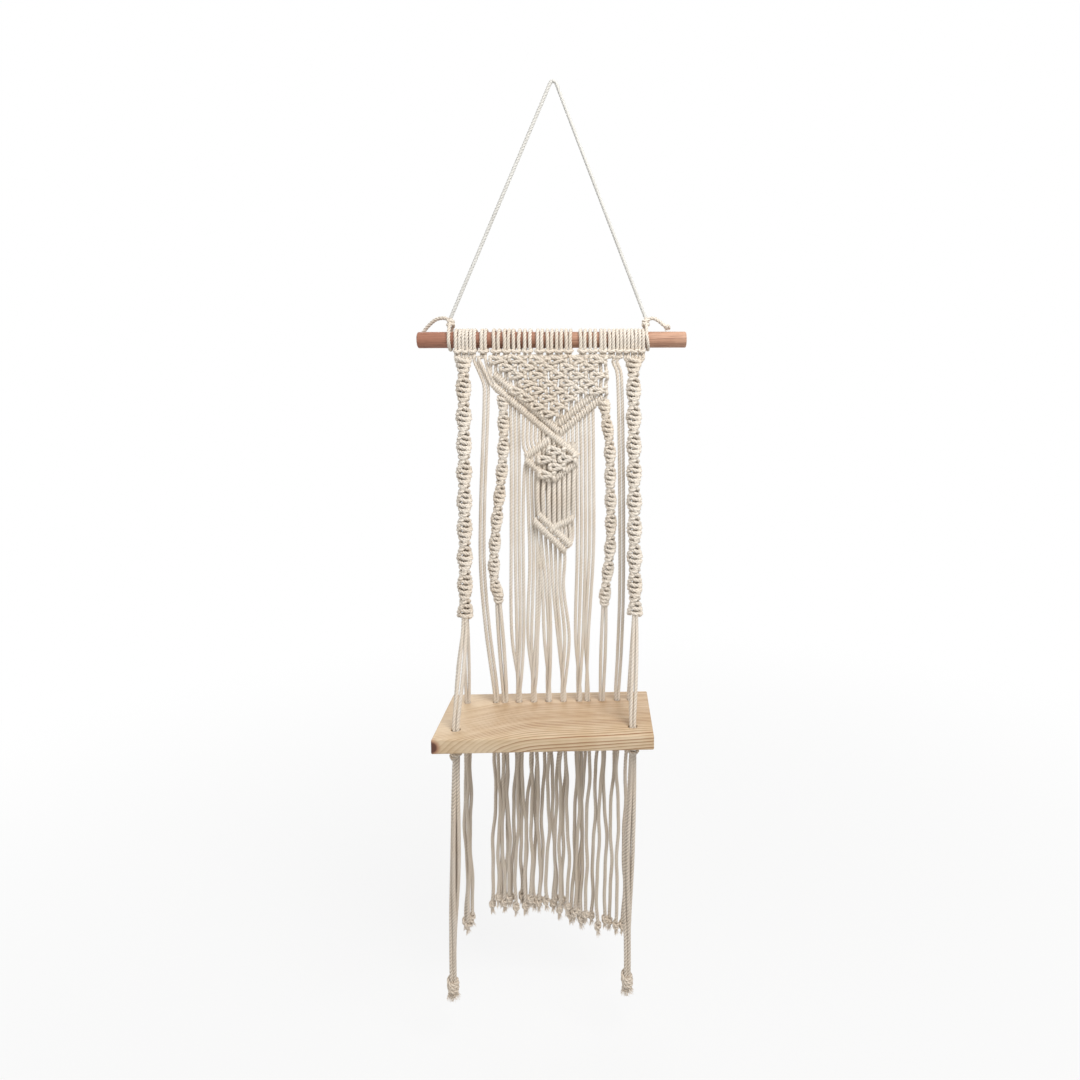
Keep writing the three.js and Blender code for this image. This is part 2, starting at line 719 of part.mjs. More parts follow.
// Cords from an outer sinnet's foot to the front hole and to the rear corner hole
function makeCornerCords() {
  return outerSinnets.flatMap(([side, holeX, sinnetX]) => {
    const topZ = outerSinnetEnd - touchGap;
    const frontY = -outerSinnetForward - cordsPartedBy / 2;
    const rearY = -outerSinnetForward + cordsPartedBy / 2;
    const front = [-1, 1].flatMap((across) => [-1, 1].map((through) => {
      const [shiftX, shiftY] = [across * cornerCordReach, through * cornerCordReach];
      return tube([
        at(sinnetX + shiftX, frontY + shiftY * cornerGatherShare, topZ),
        at(sinnetX + shiftX, frontY + shiftY * cornerGatherShare, topZ - cordDiameter),
        at(holeX + shiftX, frontHoleY + shiftY, cordFoot + cordDiameter),
        at(holeX + shiftX, frontHoleY + shiftY, cordFoot),
      ], cordDiameter, cordSides);
    }));
    const rear = [-1, 1].map((across) => {
      const shiftX = across * cornerCordReach;
      return tube([
        at(sinnetX + shiftX, rearY, topZ),
        at(sinnetX + shiftX, rearY, topZ - cordDiameter),
        at(holeX + shiftX, 0, cordFoot + cordDiameter),
        at(holeX + shiftX, 0, cordFoot),
      ], cordDiameter, cordSides);
    });
    return [
      piece(`${side}_front_cords`, join(front), cotton()),
      piece(`${side}_rear_cords`, join(rear), cotton()),
    ];
  });
}

// Board with its drilled holes
function makeBoard() {
  const shape = new THREE.Shape();
  const halfDepth = boardThickness / 2;
  shape.moveTo(boardFront + boardEdgeRound, -halfDepth);
  shape.lineTo(boardRear - boardEdgeRound, -halfDepth);
  shape.lineTo(boardRear, -halfDepth + boardEdgeRound);
  shape.lineTo(boardRear, halfDepth - boardEdgeRound);
  shape.lineTo(boardRear - boardEdgeRound, halfDepth);
  shape.lineTo(boardFront + boardEdgeRound, halfDepth);
  shape.lineTo(boardFront, halfDepth - boardEdgeRound);
  shape.lineTo(boardFront, -halfDepth + boardEdgeRound);
  const plank = new THREE.ExtrudeGeometry(shape, { depth: boardWidth, bevelEnabled: false });
  plank.rotateY(Math.PI / 2);
  plank.rotateX(Math.PI / 2);
  plank.translate(boardOffset - boardWidth / 2, 0, (boardTop + boardBottom) / 2);
  let board = closed(plank);
  const holes = [
    ...rearHoles.map((x) => [x, 0, rearHoleDiameter]),
    [leftHoleX, frontHoleY, frontHoleDiameter],
    [rightHoleX, frontHoleY, frontHoleDiameter],
  ];
  for (const [x, y, diameter] of holes) {
    const drillLength = boardThickness + 2 * cutOverrun;
    const drill = new THREE.CylinderGeometry(diameter / 2, diameter / 2, drillLength, holeSides);
    drill.rotateX(Math.PI / 2);
    drill.translate(x, y, (boardTop + boardBottom) / 2);
    board = cut(board, closed(drill));
  }
  return piece('board', board, pine());
}

// A stopper: the cords squeezed together in a hole, and the knot under the board that carries it
function makeStopper(name, x, y, holeDiameter, knot) {
  const plug = holeDiameter / 2 - touchGap;
  const under = boardBottom - touchGap;
  const profile = [
    [0, boardTop],
    [plug, boardTop],
    [plug, under],
    ...stopperKnotShares.map(([radius, drop]) => [radius * knot.diameter, under - drop * knot.height]),
  ].map(([radius, z]) => new THREE.Vector2(radius, z));
  const stopper = new THREE.LatheGeometry(profile, 8);
  stopper.rotateX(Math.PI / 2);
  stopper.translate(x, y, 0);
  return piece(name, closed(stopper), cotton());
}

// Free cord ends that hang from a knot and spread a little on their way down, within their own room
function makeFringe(name, x, strands, room, phase) {
  const top = boardBottom - 2 * touchGap - rearKnotHeight;
  const reach = Math.min(room / 2 - cordRadius, fringeSpread);
  const cords = Array.from({ length: strands }, (_, index) => {
    const share = (2 * index) / (strands - 1) - 1;
    const through = (index % 2 === 0 ? 1 : -1) * cordRadius * fringeDepthShare;
    const length = rearFringeDrop * (1 + fringeUnevenShare * Math.sin(phase * 1.9 + index * 2.6));
    const neckX = x + share * cordRadius * fringeNeckShare;
    return tube([
      at(neckX, through / 2, top),
      at(neckX, through / 2, top - cordDiameter),
      at(x + share * reach, through, boardBottom - length * fringeBulgeShare),
      at(x + share * reach * fringeNeckShare, through, boardBottom - length),
    ], cordDiameter, hitchSides);
  });
  return piece(name, join(cords), cotton());
}

function makeTassel(name, x) {
  const top = boardBottom - 2 * touchGap - frontKnotHeight;
  const end = boardBottom - frontTasselDrop;
  const cords = [-1, 1].flatMap((across) => [-1, 1].map((through) => {
    const strandAt = (reach, z) => at(x + across * reach, frontHoleY + through * reach, z);
    return tube([
      strandAt(sinnetCordReach, top),
      strandAt(cordPitch / 2, (top + end) / 2),
      strandAt(sinnetCordReach, end),
    ], cordDiameter, hitchSides);
  }));
  const knot = knotGeometry(tasselKnotDiameter, tasselKnotHeight, x, frontHoleY, end);
  return piece(name, join([...cords, knot]), cotton());
}

const padded = (number) => String(number).padStart(2, '0');

function makeUnderBoard() {
  const pieces = [];
  rearHoles.forEach((x, index) => {
    const number = padded(index + 1);
    const room = narrowest(index) - touchGap;
    const knotDiameter = Math.min(rearKnotDiameter, room);
    const knot = { diameter: knotDiameter, height: rearKnotHeight };
    pieces.push(makeStopper(`rear_stopper_${number}`, x, 0, rearHoleDiameter, knot));
    pieces.push(makeFringe(`rear_fringe_${number}`, x, rearStrands[index], room, index));
  });
  [['left', leftHoleX], ['right', rightHoleX]].forEach(([side, x]) => {
    const knot = { diameter: frontKnotDiameter, height: frontKnotHeight };
    pieces.push(makeStopper(`front_stopper_${side}`, x, frontHoleY, frontHoleDiameter, knot));
    pieces.push(makeTassel(`front_tassel_${side}`, x));
  });
  return pieces;
}

function narrowest(index) {
  const before = index > 0 ? rearHoles[index] - rearHoles[index - 1] : Infinity;
  const after = index + 1 < rearHoles.length ? rearHoles[index + 1] - rearHoles[index] : Infinity;
  return Math.min(before, after);
}

const shelf = new THREE.Group();
shelf.add(makeDowel());
shelf.add(makeHangingCord());
shelf.add(makeHangingKnot('left_hanging_knot', leftWrapX, 0, leftTailShares));
shelf.add(makeHangingKnot('right_hanging_knot', rightWrapX, hitchBarDrop / 2, rightTailShares));
shelf.add(...makeHitches());
shelf.add(...makeSinnets());
shelf.add(...makeStraightPairs());
shelf.add(makeKnottedPanel());
shelf.add(...makeBands());
shelf.add(makeLeaf());
shelf.add(...makePanelCords());
shelf.add(...makeCornerCords());
shelf.add(makeBoard());
shelf.add(...makeUnderBoard());

const hitchGap = leastGapToItself(hitchRoute(0, true, true), pulledCordDiameter);
console.log('least gap of a lark\'s head to itself', hitchGap);

export default shelf;
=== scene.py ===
"""Hanging rope shelf: laid cotton cord knotted between a stained dowel and a pine board.

Lengths in the classes are millimetres in the shelf's own frame, whose origin is the hang point, and
become metres where a mesh is made.
"""
import logging
from collections.abc import Callable
from dataclasses import dataclass, field
from enum import Enum
from math import asin, atan2, cos, hypot, pi, radians, sin, tanh

import bmesh
import bpy
import numpy as np
from bmesh.types import BMesh, BMVert
from bpy.types import Material, Mesh, Node, NodeOutputs, NodeSocket, NodeTree, Object
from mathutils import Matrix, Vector


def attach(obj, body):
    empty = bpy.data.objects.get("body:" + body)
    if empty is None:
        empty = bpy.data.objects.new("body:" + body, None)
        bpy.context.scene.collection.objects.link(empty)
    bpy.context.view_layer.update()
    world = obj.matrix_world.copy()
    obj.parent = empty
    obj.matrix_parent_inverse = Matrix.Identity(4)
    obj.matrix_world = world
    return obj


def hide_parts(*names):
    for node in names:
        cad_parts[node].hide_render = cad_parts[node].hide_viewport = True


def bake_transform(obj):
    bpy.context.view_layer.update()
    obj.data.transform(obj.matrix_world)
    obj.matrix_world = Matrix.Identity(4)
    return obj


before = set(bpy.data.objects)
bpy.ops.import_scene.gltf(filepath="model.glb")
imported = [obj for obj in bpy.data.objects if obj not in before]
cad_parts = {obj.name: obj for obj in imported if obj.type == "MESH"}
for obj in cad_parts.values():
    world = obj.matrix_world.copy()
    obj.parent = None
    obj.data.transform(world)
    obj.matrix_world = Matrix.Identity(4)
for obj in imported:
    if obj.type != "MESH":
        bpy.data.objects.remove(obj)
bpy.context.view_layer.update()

MM = 0.001
UNEVEN_SEED = 41
log = logging.getLogger("rope_shelf")


@dataclass(frozen=True)
class ShelfSizes:
    """Sizes and places of the shelf in millimetres, the same as its solids have."""

    cord: float = 4.0
    dowel_radius: float = 9.0
    dowel_length: float = 300.0
    dowel_x: float = -3.0
    dowel_z: float = -282.0
    bar_z: float = -297.4
    work_top: float = -299.6
    panel_y: float = -11.87
    board_left: float = -125.0
    board_right: float = 103.0
    board_front: float = -96.0
    board_rear: float = 24.0
    board_top: float = -695.0
    board_bottom: float = -710.0
    front_hole_y: float = -72.0
    hole_left: float = -104.0
    hole_right: float = 82.0
    rear_hole: float = 7.5
    front_hole: float = 9.5
    sinnet_end: float = -594.0
    sinnet_y: float = -25.0
    knot_z: float = -265.0
    left_wrap: float = -116.5
    right_wrap: float = 101.5

    @property
    def rear_holes(self) -> list[float]:
        """Places of the rear row of holes along the board."""
        shares = [0, 0.174, 0.229, 0.3145, 0.406, 0.497, 0.588, 0.6855, 0.7355, 0.826, 0.92, 1]
        return [self.hole_left + share * (self.hole_right - self.hole_left) for share in shares]

    def depth_at(self, z: float) -> float:
        """Depth of the hanging work at a height, from the dowel's front back to the rear holes.

        Args:
            z: height in millimetres.

        Returns:
            The place along Y in millimetres.
        """
        return self.panel_y * (z - self.board_top) / (self.work_top - self.board_top)


S = ShelfSizes()


class Form(Enum):
    """The two ways a tying cord may cross the cords that it ties round."""

    LEAD = 1
    RETURN = -1


@dataclass
class CordRun:
    """One cord's centre line in millimetres, with its girth as a share and the turn of its plies."""

    points: np.ndarray
    girth: float = 1.0
    phase: float = 0.0


def evened(points: np.ndarray, spacing: float) -> np.ndarray:
    """Places even stations along a line.

    Args:
        points: the line's corners.
        spacing: distance between stations in millimetres.

    Returns:
        The stations, with both ends kept.
    """
    gaps = np.linalg.norm(np.diff(points, axis=0), axis=1)
    along = np.concatenate([[0.0], np.cumsum(gaps)])
    count = max(int(round(along[-1] / spacing)), 2) + 1
    stations = np.linspace(0.0, along[-1], count)
    return np.stack([np.interp(stations, along, points[:, axis]) for axis in range(3)], axis=1)


def smoothed(points: list | np.ndarray, spacing: float = 1.1) -> np.ndarray:
    """Draws a smooth line through the given points.

    Args:
        points: places that the line passes.
        spacing: distance between the stations that come back.

    Returns:
        Even stations along the line.
    """
    p = np.asarray(points, dtype=float)
    apart = np.linalg.norm(np.diff(p, axis=0), axis=1)
    p = p[np.concatenate([[True], apart > 1e-4])]
    if len(p) < 3:
        return evened(p, spacing)
    times = np.concatenate([[0.0], np.cumsum(np.sqrt(np.linalg.norm(np.diff(p, axis=0), axis=1)))])
    slopes = np.gradient(p, times, axis=0)
    dense = []
    for index in range(len(p) - 1):
        span = times[index + 1] - times[index]
        share = np.linspace(0.0, 1.0, 9)[:-1, None]
        s2, s3 = share ** 2, share ** 3
        dense.append((2 * s3 - 3 * s2 + 1) * p[index] + (s3 - 2 * s2 + share) * span * slopes[index]
                     + (3 * s2 - 2 * s3) * p[index + 1] + (s3 - s2) * span * slopes[index + 1])
    dense.append(p[-1:])
    return evened(np.concatenate(dense), spacing)


class TreeMaker:
    """Adds nodes to one node tree and joins their sockets."""

    def __init__(self, tree: NodeTree) -> None:
        """Keeps the tree that the nodes go into."""
        self.tree = tree

    def socket(self, name: str, kind: str, value: float | None = None, out: bool = False) -> str:
        """Adds a socket to the tree's own interface.

        Args:
            name: the socket's name.
            kind: the last part of its type, such as Float.
            value: its default.
            out: True for an output.

        Returns:
            The socket's identifier.
        """
        made = self.tree.interface.new_socket(
            name=name, in_out="OUTPUT" if out else "INPUT", socket_type=f"NodeSocket{kind}")
        if value is not None:
            made.default_value = value
        return made.identifier

    def node(self, kind: str, inputs: dict | None = None, **settings: object) -> Node:
        """Adds a node.

        Args:
            kind: the node's type.
            inputs: values or sockets for its inputs, by name or number.
            settings: the node's own settings.

        Returns:
            The node.
        """
        made = self.tree.nodes.new(kind)
        made.location = (190 * (len(self.tree.nodes) % 12), -170 * (len(self.tree.nodes) // 12))
        for key, value in settings.items():
            setattr(made, key, value)
        for key, value in (inputs or {}).items():
            self.feed(made.inputs[key], value)
        return made

    def out(self, kind: str, inputs: dict | None = None, **settings: object) -> NodeSocket:
        """Adds a node and returns its first output."""
        return self.node(kind, inputs, **settings).outputs[0]

    def geo(self, kind: str, inputs: dict | None = None, **settings: object) -> NodeSocket:
        """Adds a Geometry Nodes node and returns its first output."""
        return self.out(f"GeometryNode{kind}", inputs, **settings)

    def feed(self, socket: NodeSocket, value: object) -> None:
        """Links a socket into another, or sets its value.

        Args:
            socket: the input.
            value: a socket or a plain value.
        """
        if isinstance(value, NodeSocket):
            self.tree.links.new(value, socket)
        else:
            socket.default_value = value

    def math(self, operation: str, *values: object) -> NodeSocket:
        """Adds a Math node.

        Args:
            operation: what it does.
            values: its inputs in order.

        Returns:
            Its result.
        """
        made = self.node("ShaderNodeMath", operation=operation)
        for index, value in enumerate(values):
            self.feed(made.inputs[index], value)
        return made.outputs[0]

    def times(self, first: object, second: object) -> NodeSocket:
        """Multiplies two numbers."""
        return self.math("MULTIPLY", first, second)

    def plus(self, first: object, second: object) -> NodeSocket:
        """Adds two numbers."""
        return self.math("ADD", first, second)

    def minus(self, first: object, second: object) -> NodeSocket:
        """Takes the second number from the first."""
        return self.math("SUBTRACT", first, second)

    def vector(self, x: object = 0.0, y: object = 0.0, z: object = 0.0) -> NodeSocket:
        """Joins three numbers into a vector."""
        return self.out("ShaderNodeCombineXYZ", {"X": x, "Y": y, "Z": z})

    def parts(self, vector: NodeSocket) -> NodeOutputs:
        """Splits a vector into its X, Y and Z."""
        return self.node("ShaderNodeSeparateXYZ", {"Vector": vector}).outputs

    def vector_math(self, operation: str, first: object, second: object = (0, 0, 0)) -> NodeSocket:
        """Adds a Vector Math node.

        Args:
            operation: what it does.
            first: its first vector.
            second: its second vector, or the factor of a SCALE.

        Returns:
            Its result, a number for a LENGTH or DISTANCE and else a vector.
        """
        key = "Scale" if operation == "SCALE" else 1
        made = self.node("ShaderNodeVectorMath", {0: first, key: second}, operation=operation)
        return made.outputs["Value" if operation in ("LENGTH", "DISTANCE") else "Vector"]

    def place(self) -> NodeSocket:
        """The place on the piece in its own coordinates, which every material reads."""
        return self.node("ShaderNodeTexCoord").outputs["Object"]

    def noise(self, place: NodeSocket, scale: float, detail: float = 2.0,
              rough: float = 0.5) -> NodeSocket:
        """Adds a noise texture and returns its value."""
        return self.out("ShaderNodeTexNoise", {"Vector": place, "Scale": scale, "Detail": detail,
                                               "Roughness": rough})

    def remap(self, value: object, low: float, high: float, to_low: float = 0.0,
              to_high: float = 1.0) -> NodeSocket:
        """Adds a smooth Map Range node and returns its result."""
        inputs = {"Value": value, "From Min": low, "From Max": high, "To Min": to_low, "To Max": to_high}
        return self.out("ShaderNodeMapRange", inputs, interpolation_type="SMOOTHSTEP")

    def mix(self, share: object, first: object, second: object) -> NodeSocket:
        """Mixes two colours by a share."""
        return self.node("ShaderNodeMix", {0: share, 6: first, 7: second}, data_type="RGBA").outputs[2]

    def bump(self, shader: Node, height: NodeSocket, strength: float, distance: float) -> None:
        """Feeds a shader's normal from a height."""
        made = self.out("ShaderNodeBump", {"Height": height, "Strength": strength, "Distance": distance})
        self.feed(shader.inputs["Normal"], made)

    def seen(self) -> NodeSocket:
        """A mask that is 1 where a ray comes from the camera or by a mirror image or glass.

        Returns:
            The mask.
        """
        rays = self.node("ShaderNodeLightPath").outputs
        other = self.math("MAXIMUM", rays["Is Glossy Ray"], rays["Is Transmission Ray"])
        return self.math("MAXIMUM", rays["Is Camera Ray"], other)

    def capture(self, geometry: NodeSocket, **values: object) -> NodeOutputs:
        """Keeps values on a geometry's points before it changes.

        Args:
            geometry: the geometry.
            values: the values by name.

        Returns:
            The outputs: Geometry and one for each name.
        """
        made = self.node("GeometryNodeCaptureAttribute", {"Geometry": geometry})
        for name in values:
            made.capture_items.new("FLOAT", name)
        for name, value in values.items():
            self.feed(made.inputs[name], value)
        return made.outputs

    def store(self, geometry: NodeSocket, name: str, value: object,
              kind: str = "FLOAT") -> NodeSocket:
        """Stores a value as a named attribute of the points."""
        inputs = {"Geometry": geometry, "Name": name, "Value": value}
        return self.geo("StoreNamedAttribute", inputs, data_type=kind, domain="POINT")


def rgb(red: float, green: float, blue: float) -> tuple[float, float, float, float]:
    """Turns a colour as it is seen, from 0 to 1, into the linear colour that a shader takes."""
    seen = (red, green, blue)
    return tuple(c / 12.92 if c <= 0.04045 else ((c + 0.055) / 1.055) ** 2.4 for c in seen) + (1.0,)


def new_material(name: str) -> tuple[Material, TreeMaker, Node]:
    """Starts a material.

    Args:
        name: the material's name.

    Returns:
        The material, a maker for its tree and its Principled node.
    """
    material = bpy.data.materials.new(name)
    material.use_nodes = True
    return material, TreeMaker(material.node_tree), material.node_tree.nodes["Principled BSDF"]


def new_object(name: str, data: bpy.types.ID) -> Object:
    """Puts a new object into the scene.

    Args:
        name: its name.
        data: its mesh, lamp or camera.

    Returns:
        The object.
    """
    made = bpy.data.objects.new(name, data)
    bpy.context.scene.collection.objects.link(made)
    return made


class PieceTree:
    """A Geometry Nodes tree that makes a piece from lines or points."""

    def __init__(self, name: str, source: str, result: str, sizes: dict[str, object]) -> None:
        """Opens the tree and makes its nodes once.

        Args:
            name: the tree's name.
            source: the name of the geometry that comes in.
            result: the name of the geometry that goes out.
            sizes: the other inputs with their defaults.
        """
        self.tree = bpy.data.node_groups.new(name, "GeometryNodeTree")
        m = TreeMaker(self.tree)
        m.socket(source, "Geometry")
        kinds = {float: "Float", int: "Int", type(None): "Material"}
        self.inputs = {label: m.socket(label, kinds[type(value)], value) for label, value in sizes.items()}
        m.socket(result, "Geometry", out=True)
        given = m.node("NodeGroupInput").outputs
        made = m.geo("SetMaterial", {"Geometry": self.nodes(m, given), "Material": given["Material"]})
        m.node("NodeGroupOutput", {result: made})

    def nodes(self, m: TreeMaker, given: NodeOutputs) -> NodeSocket:
        """Makes the nodes up to Set Material, which each kind of tree does in its own way."""
        raise NotImplementedError

    def make(self, name: str, values: dict[str, object], runs: list[CordRun]) -> Object:
        """Runs the tree on lines and keeps the result as a plain mesh.

        Args:
            name: the new piece's name.
            values: the tree's inputs.
            runs: the lines, in millimetres.

        Returns:
            The piece, at the origin and without its modifier.
        """
        lines = bpy.data.meshes.new(f"{name}_lines")
        points = np.concatenate([run.points for run in runs]) * MM
        counts = [len(run.points) for run in runs]
        edges, first = [], 0
        for count in counts:
            steps = np.arange(first, first + count - 1)
            edges.append(np.stack([steps, steps + 1], axis=1))
            first += count
        edges = np.concatenate(edges)
        lines.vertices.add(len(points))
        lines.vertices.foreach_set("co", points.astype(np.float32).ravel())
        lines.edges.add(len(edges))
        if len(edges):
            lines.edges.foreach_set("vertices", edges.astype(np.int32).ravel())
        for key in ("phase", "girth"):
            spread = np.repeat(np.array([getattr(run, key) for run in runs], dtype=np.float32), counts)
            lines.attributes.new(key, "FLOAT", "POINT").data.foreach_set("value", spread)
        holder = new_object(f"{name}_lines", lines)
        modifier = holder.modifiers.new("tree", "NODES")
        modifier.node_group = self.tree
        for label, value in values.items():
            modifier[self.inputs[label]] = value
        graph = bpy.context.evaluated_depsgraph_get()
        mesh = bpy.data.meshes.new_from_object(holder.evaluated_get(graph), preserve_all_data_layers=True,
                                               depsgraph=graph)
        bpy.data.objects.remove(holder)
        bpy.data.meshes.remove(lines)
        for key in ("phase", "girth"):
            if key in mesh.attributes:
                mesh.attributes.remove(mesh.attributes[key])
        mesh.name = name
        return new_object(name, mesh)


class LaidCordTree(PieceTree):
    """Lays three plies of cotton along every line of a piece."""

    sides = 12
    plies = 3
    lay_share = 2.85
    drift = 0.31

    def __init__(self) -> None:
        """Opens the tree with the sizes of a 4 mm cord."""
        super().__init__("Laid Cord", "Lines", "Cord", {"Cord Radius": 0.002, "Lay Length": 0.0114,
                                                        "Groove Depth": 0.24, "Material": None})

    def nodes(self, m: TreeMaker, given: NodeOutputs) -> NodeSocket:
        """Makes the nodes: line to curve, twist, three-lobed profile and attributes.

        Args:
            m: adds the nodes.
            given: the tree's inputs.

        Returns:
            The cord's geometry.
        """
        curve = m.geo("MeshToCurve", {"Mesh": given["Lines"]})
        length = m.node("GeometryNodeSplineParameter").outputs["Length"]
        phase, girth = (m.geo("InputNamedAttribute", {"Name": name}, data_type="FLOAT")
                        for name in ("phase", "girth"))
        turn = m.plus(m.math("DIVIDE", m.times(length, 2 * pi), given["Lay Length"]), phase)
        line = m.capture(curve, turn=turn, along=m.plus(length, m.times(phase, self.drift)))
        tilted = m.geo("SetCurveTilt", {"Curve": line["Geometry"], "Tilt": turn})
        circle = m.geo("CurvePrimitiveCircle", {"Resolution": self.sides, "Radius": 1.0}, mode="RADIUS")
        angle = m.times(m.geo("InputIndex"), 2 * pi / self.sides)
        groove = m.minus(1.0, m.math("ABSOLUTE", m.math("COSINE", m.times(angle, self.plies / 2))))
        radius = given["Cord Radius"]
        reach = m.times(radius, m.minus(1.0, m.times(groove, given["Groove Depth"])))
        ring = m.capture(circle, angle=angle, groove=groove)
        place = m.vector_math("SCALE", m.geo("InputPosition"), reach)
        profile = m.geo("SetPosition", {"Geometry": ring["Geometry"], "Position": place})
        skin = m.geo("CurveToMesh", {"Curve": tilted, "Scale": girth, "Profile Curve": profile,
                                     "Fill Caps": True})
        around = m.plus(line["turn"], ring["angle"])
        fibre = m.vector(m.times(m.math("COSINE", around), radius), m.times(m.math("SINE", around), radius),
                         line["along"])
        skin = m.store(m.store(skin, "fibre", fibre, "FLOAT_VECTOR"), "groove", ring["groove"])
        return m.geo("RealizeInstances", {"Geometry": m.geo("SetShadeSmooth", {"Geometry": skin})})

    def lay(self, name: str, runs: list[CordRun], material: Material,
            diameter: float = S.cord) -> Object:
        """Lays cord along the runs and returns it as one plain mesh object.

        Args:
            name: the piece's name.
            runs: the centre lines.
            material: the cord's finish.
            diameter: the cord's diameter in millimetres.

        Returns:
            The piece.
        """
        values = {"Cord Radius": diameter / 2 * MM, "Lay Length": self.lay_share * diameter * MM,
                  "Material": material}
        return self.make(name, values, runs)


class FrayedTipTree(PieceTree):
    """Opens a cord's end into a small brush of loose cotton fibres."""

    bow = 0.22
    taper = 0.72

    def __init__(self) -> None:
        """Opens the tree with the sizes of a brush at a 4 mm cord's end."""
        super().__init__("Frayed Tip", "Tips", "Brush", {
            "Fibres": 26, "Fibre Length": 0.011, "Fibre Radius": 0.00042, "Spread": 0.3, "Tip Radius": 0.0016,
            "Seed": 3, "Material": None})

    def nodes(self, m: TreeMaker, given: NodeOutputs) -> NodeSocket:
        """Makes the nodes: fibres from each point, fanned out with a fixed seed.

        Args:
            m: adds the nodes.
            given: the tree's inputs.

        Returns:
            The brush's geometry.
        """
        points = m.geo("MeshToPoints", {"Mesh": given["Tips"]})
        many = m.geo("DuplicateElements", {"Geometry": points, "Amount": given["Fibres"]}, domain="POINT")
        index = m.geo("InputIndex")

        def random(low: float, high: float, shift: float) -> NodeSocket:
            """Gives each fibre its own number.

            Args:
                low: the least that it may be.
                high: the most that it may be.
                shift: added to the seed, so that no two draws are alike.

            Returns:
                The number.
            """
            seed = m.plus(given["Seed"], shift)
            return m.node("FunctionNodeRandomValue", {2: low, 3: high, "ID": index, "Seed": seed},
                          data_type="FLOAT").outputs[1]

        turn = random(0.0, 2 * pi, 1.0)
        ahead, aside = m.math("COSINE", turn), m.math("SINE", turn)
        reach = m.math("SQRT", random(0.0, 1.0, 2.0))
        lean, away = m.times(reach, given["Spread"]), m.times(reach, given["Tip Radius"])
        start = m.vector(m.times(ahead, away), m.times(aside, away))
        placed = m.geo("SetPosition", {"Geometry": many, "Offset": start})
        line = m.geo("CurvePrimitiveLine", {"Start": (0, 0, 0), "End": (0, 0, -1)})
        line = m.geo("ResampleCurve", {"Curve": line, "Count": 6})
        factor = m.geo("SplineParameter")
        bow = m.vector(m.times(m.math("POWER", factor, 2.0), self.bow))
        line = m.geo("SetPosition", {"Geometry": line, "Offset": bow})
        thin = m.minus(1.0, m.times(factor, self.taper))
        length = given["Fibre Length"]
        ratio = m.math("DIVIDE", given["Fibre Radius"], length)
        profile = m.geo("CurvePrimitiveCircle", {"Resolution": 4, "Radius": ratio}, mode="RADIUS")
        hair = m.geo("CurveToMesh", {"Curve": line, "Profile Curve": profile, "Scale": thin,
                                     "Fill Caps": True})
        aim = m.vector(m.times(aside, lean), m.times(ahead, m.times(lean, -1.0)), random(0.0, 6.28, 5.0))
        size = m.vector(length, length, m.times(length, random(0.55, 1.0, 4.0)))
        brush = m.geo("InstanceOnPoints", {"Points": placed, "Instance": hair, "Rotation": aim,
                                           "Scale": size})
        brush = m.store(m.geo("RealizeInstances", {"Geometry": brush}), "fibre", m.geo("InputPosition"),
                        "FLOAT_VECTOR")
        return m.geo("SetShadeSmooth", {"Geometry": brush})

    def open_ends(self, name: str, tips: list[np.ndarray], material: Material, seed: int,
                  length: float) -> Object:
        """Makes a brush of fibres at each tip.

        Args:
            name: the piece's name.
            tips: the cords' ends.
            material: the fibres' finish.
            seed: seed of the fan.
            length: length of the longest fibre in millimetres.

        Returns:
            The piece.
        """
        return self.make(name, {"Seed": seed, "Fibre Length": length * MM, "Material": material},
                         [CordRun(np.array([tip])) for tip in tips])


def joined(name: str, parts: list[Object]) -> Object:
    """Joins pieces into one.

    Args:
        name: the new piece's name.
        parts: the pieces.

    Returns:
        The new piece.
    """
    with bpy.context.temp_override(active_object=parts[0], object=parts[0], selected_objects=parts,
                                   selected_editable_objects=parts):
        bpy.ops.object.join()
    parts[0].name = parts[0].data.name = name
    return parts[0]


def as_piece(name: str, mesh: BMesh, material: Material, sharp: float = 40) -> Object:
    """Turns a bmesh into a smooth-shaded object with its sharp edges kept.

    Args:
        name: the piece's name.
        mesh: its mesh, which is freed.
        material: its finish.
        sharp: the angle in degrees from which an edge stays sharp.

    Returns:
        The piece.
    """
    data = bpy.data.meshes.new(name)
    mesh.to_mesh(data)
    mesh.free()
    data.materials.append(material)
    smooth_faces(data, sharp)
    return new_object(name, data)


def smooth_faces(data: Mesh, sharp: float) -> None:
    """Shades a mesh smooth but for its edges from an angle in degrees."""
    data.polygons.foreach_set("use_smooth", np.ones(len(data.polygons), dtype=bool))
    data.set_sharp_from_angle(angle=radians(sharp))


def close_rings(mesh: BMesh, rings: list[list[BMVert]]) -> None:
    """Closes rings of points into a solid whose faces look outwards.

    Args:
        mesh: the mesh that holds the points.
        rings: the rings in order, each with as many points.
    """
    for near, far in zip(rings, rings[1:]):
        for side, following in enumerate([*range(1, len(near)), 0]):
            mesh.faces.new((near[side], far[side], far[following], near[following]))
    mesh.faces.new(rings[0])
    mesh.faces.new(rings[-1][::-1])
    bmesh.ops.recalc_face_normals(mesh, faces=mesh.faces)


def settle(piece: Object, body: str | None, slot: str, *nodes: str) -> None:
    """Lets a piece ride on a body and stand for its nodes, and reports it.

    Args:
        piece: the piece.
        body: the body, or None to leave the piece unattached.
        slot: not used.
        nodes: the nodes that it stands for.
    """
    if body:
        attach(piece, body)
    if nodes:
        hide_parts(*nodes)
    log.info("%s: %d faces", piece.name, len(piece.data.polygons))


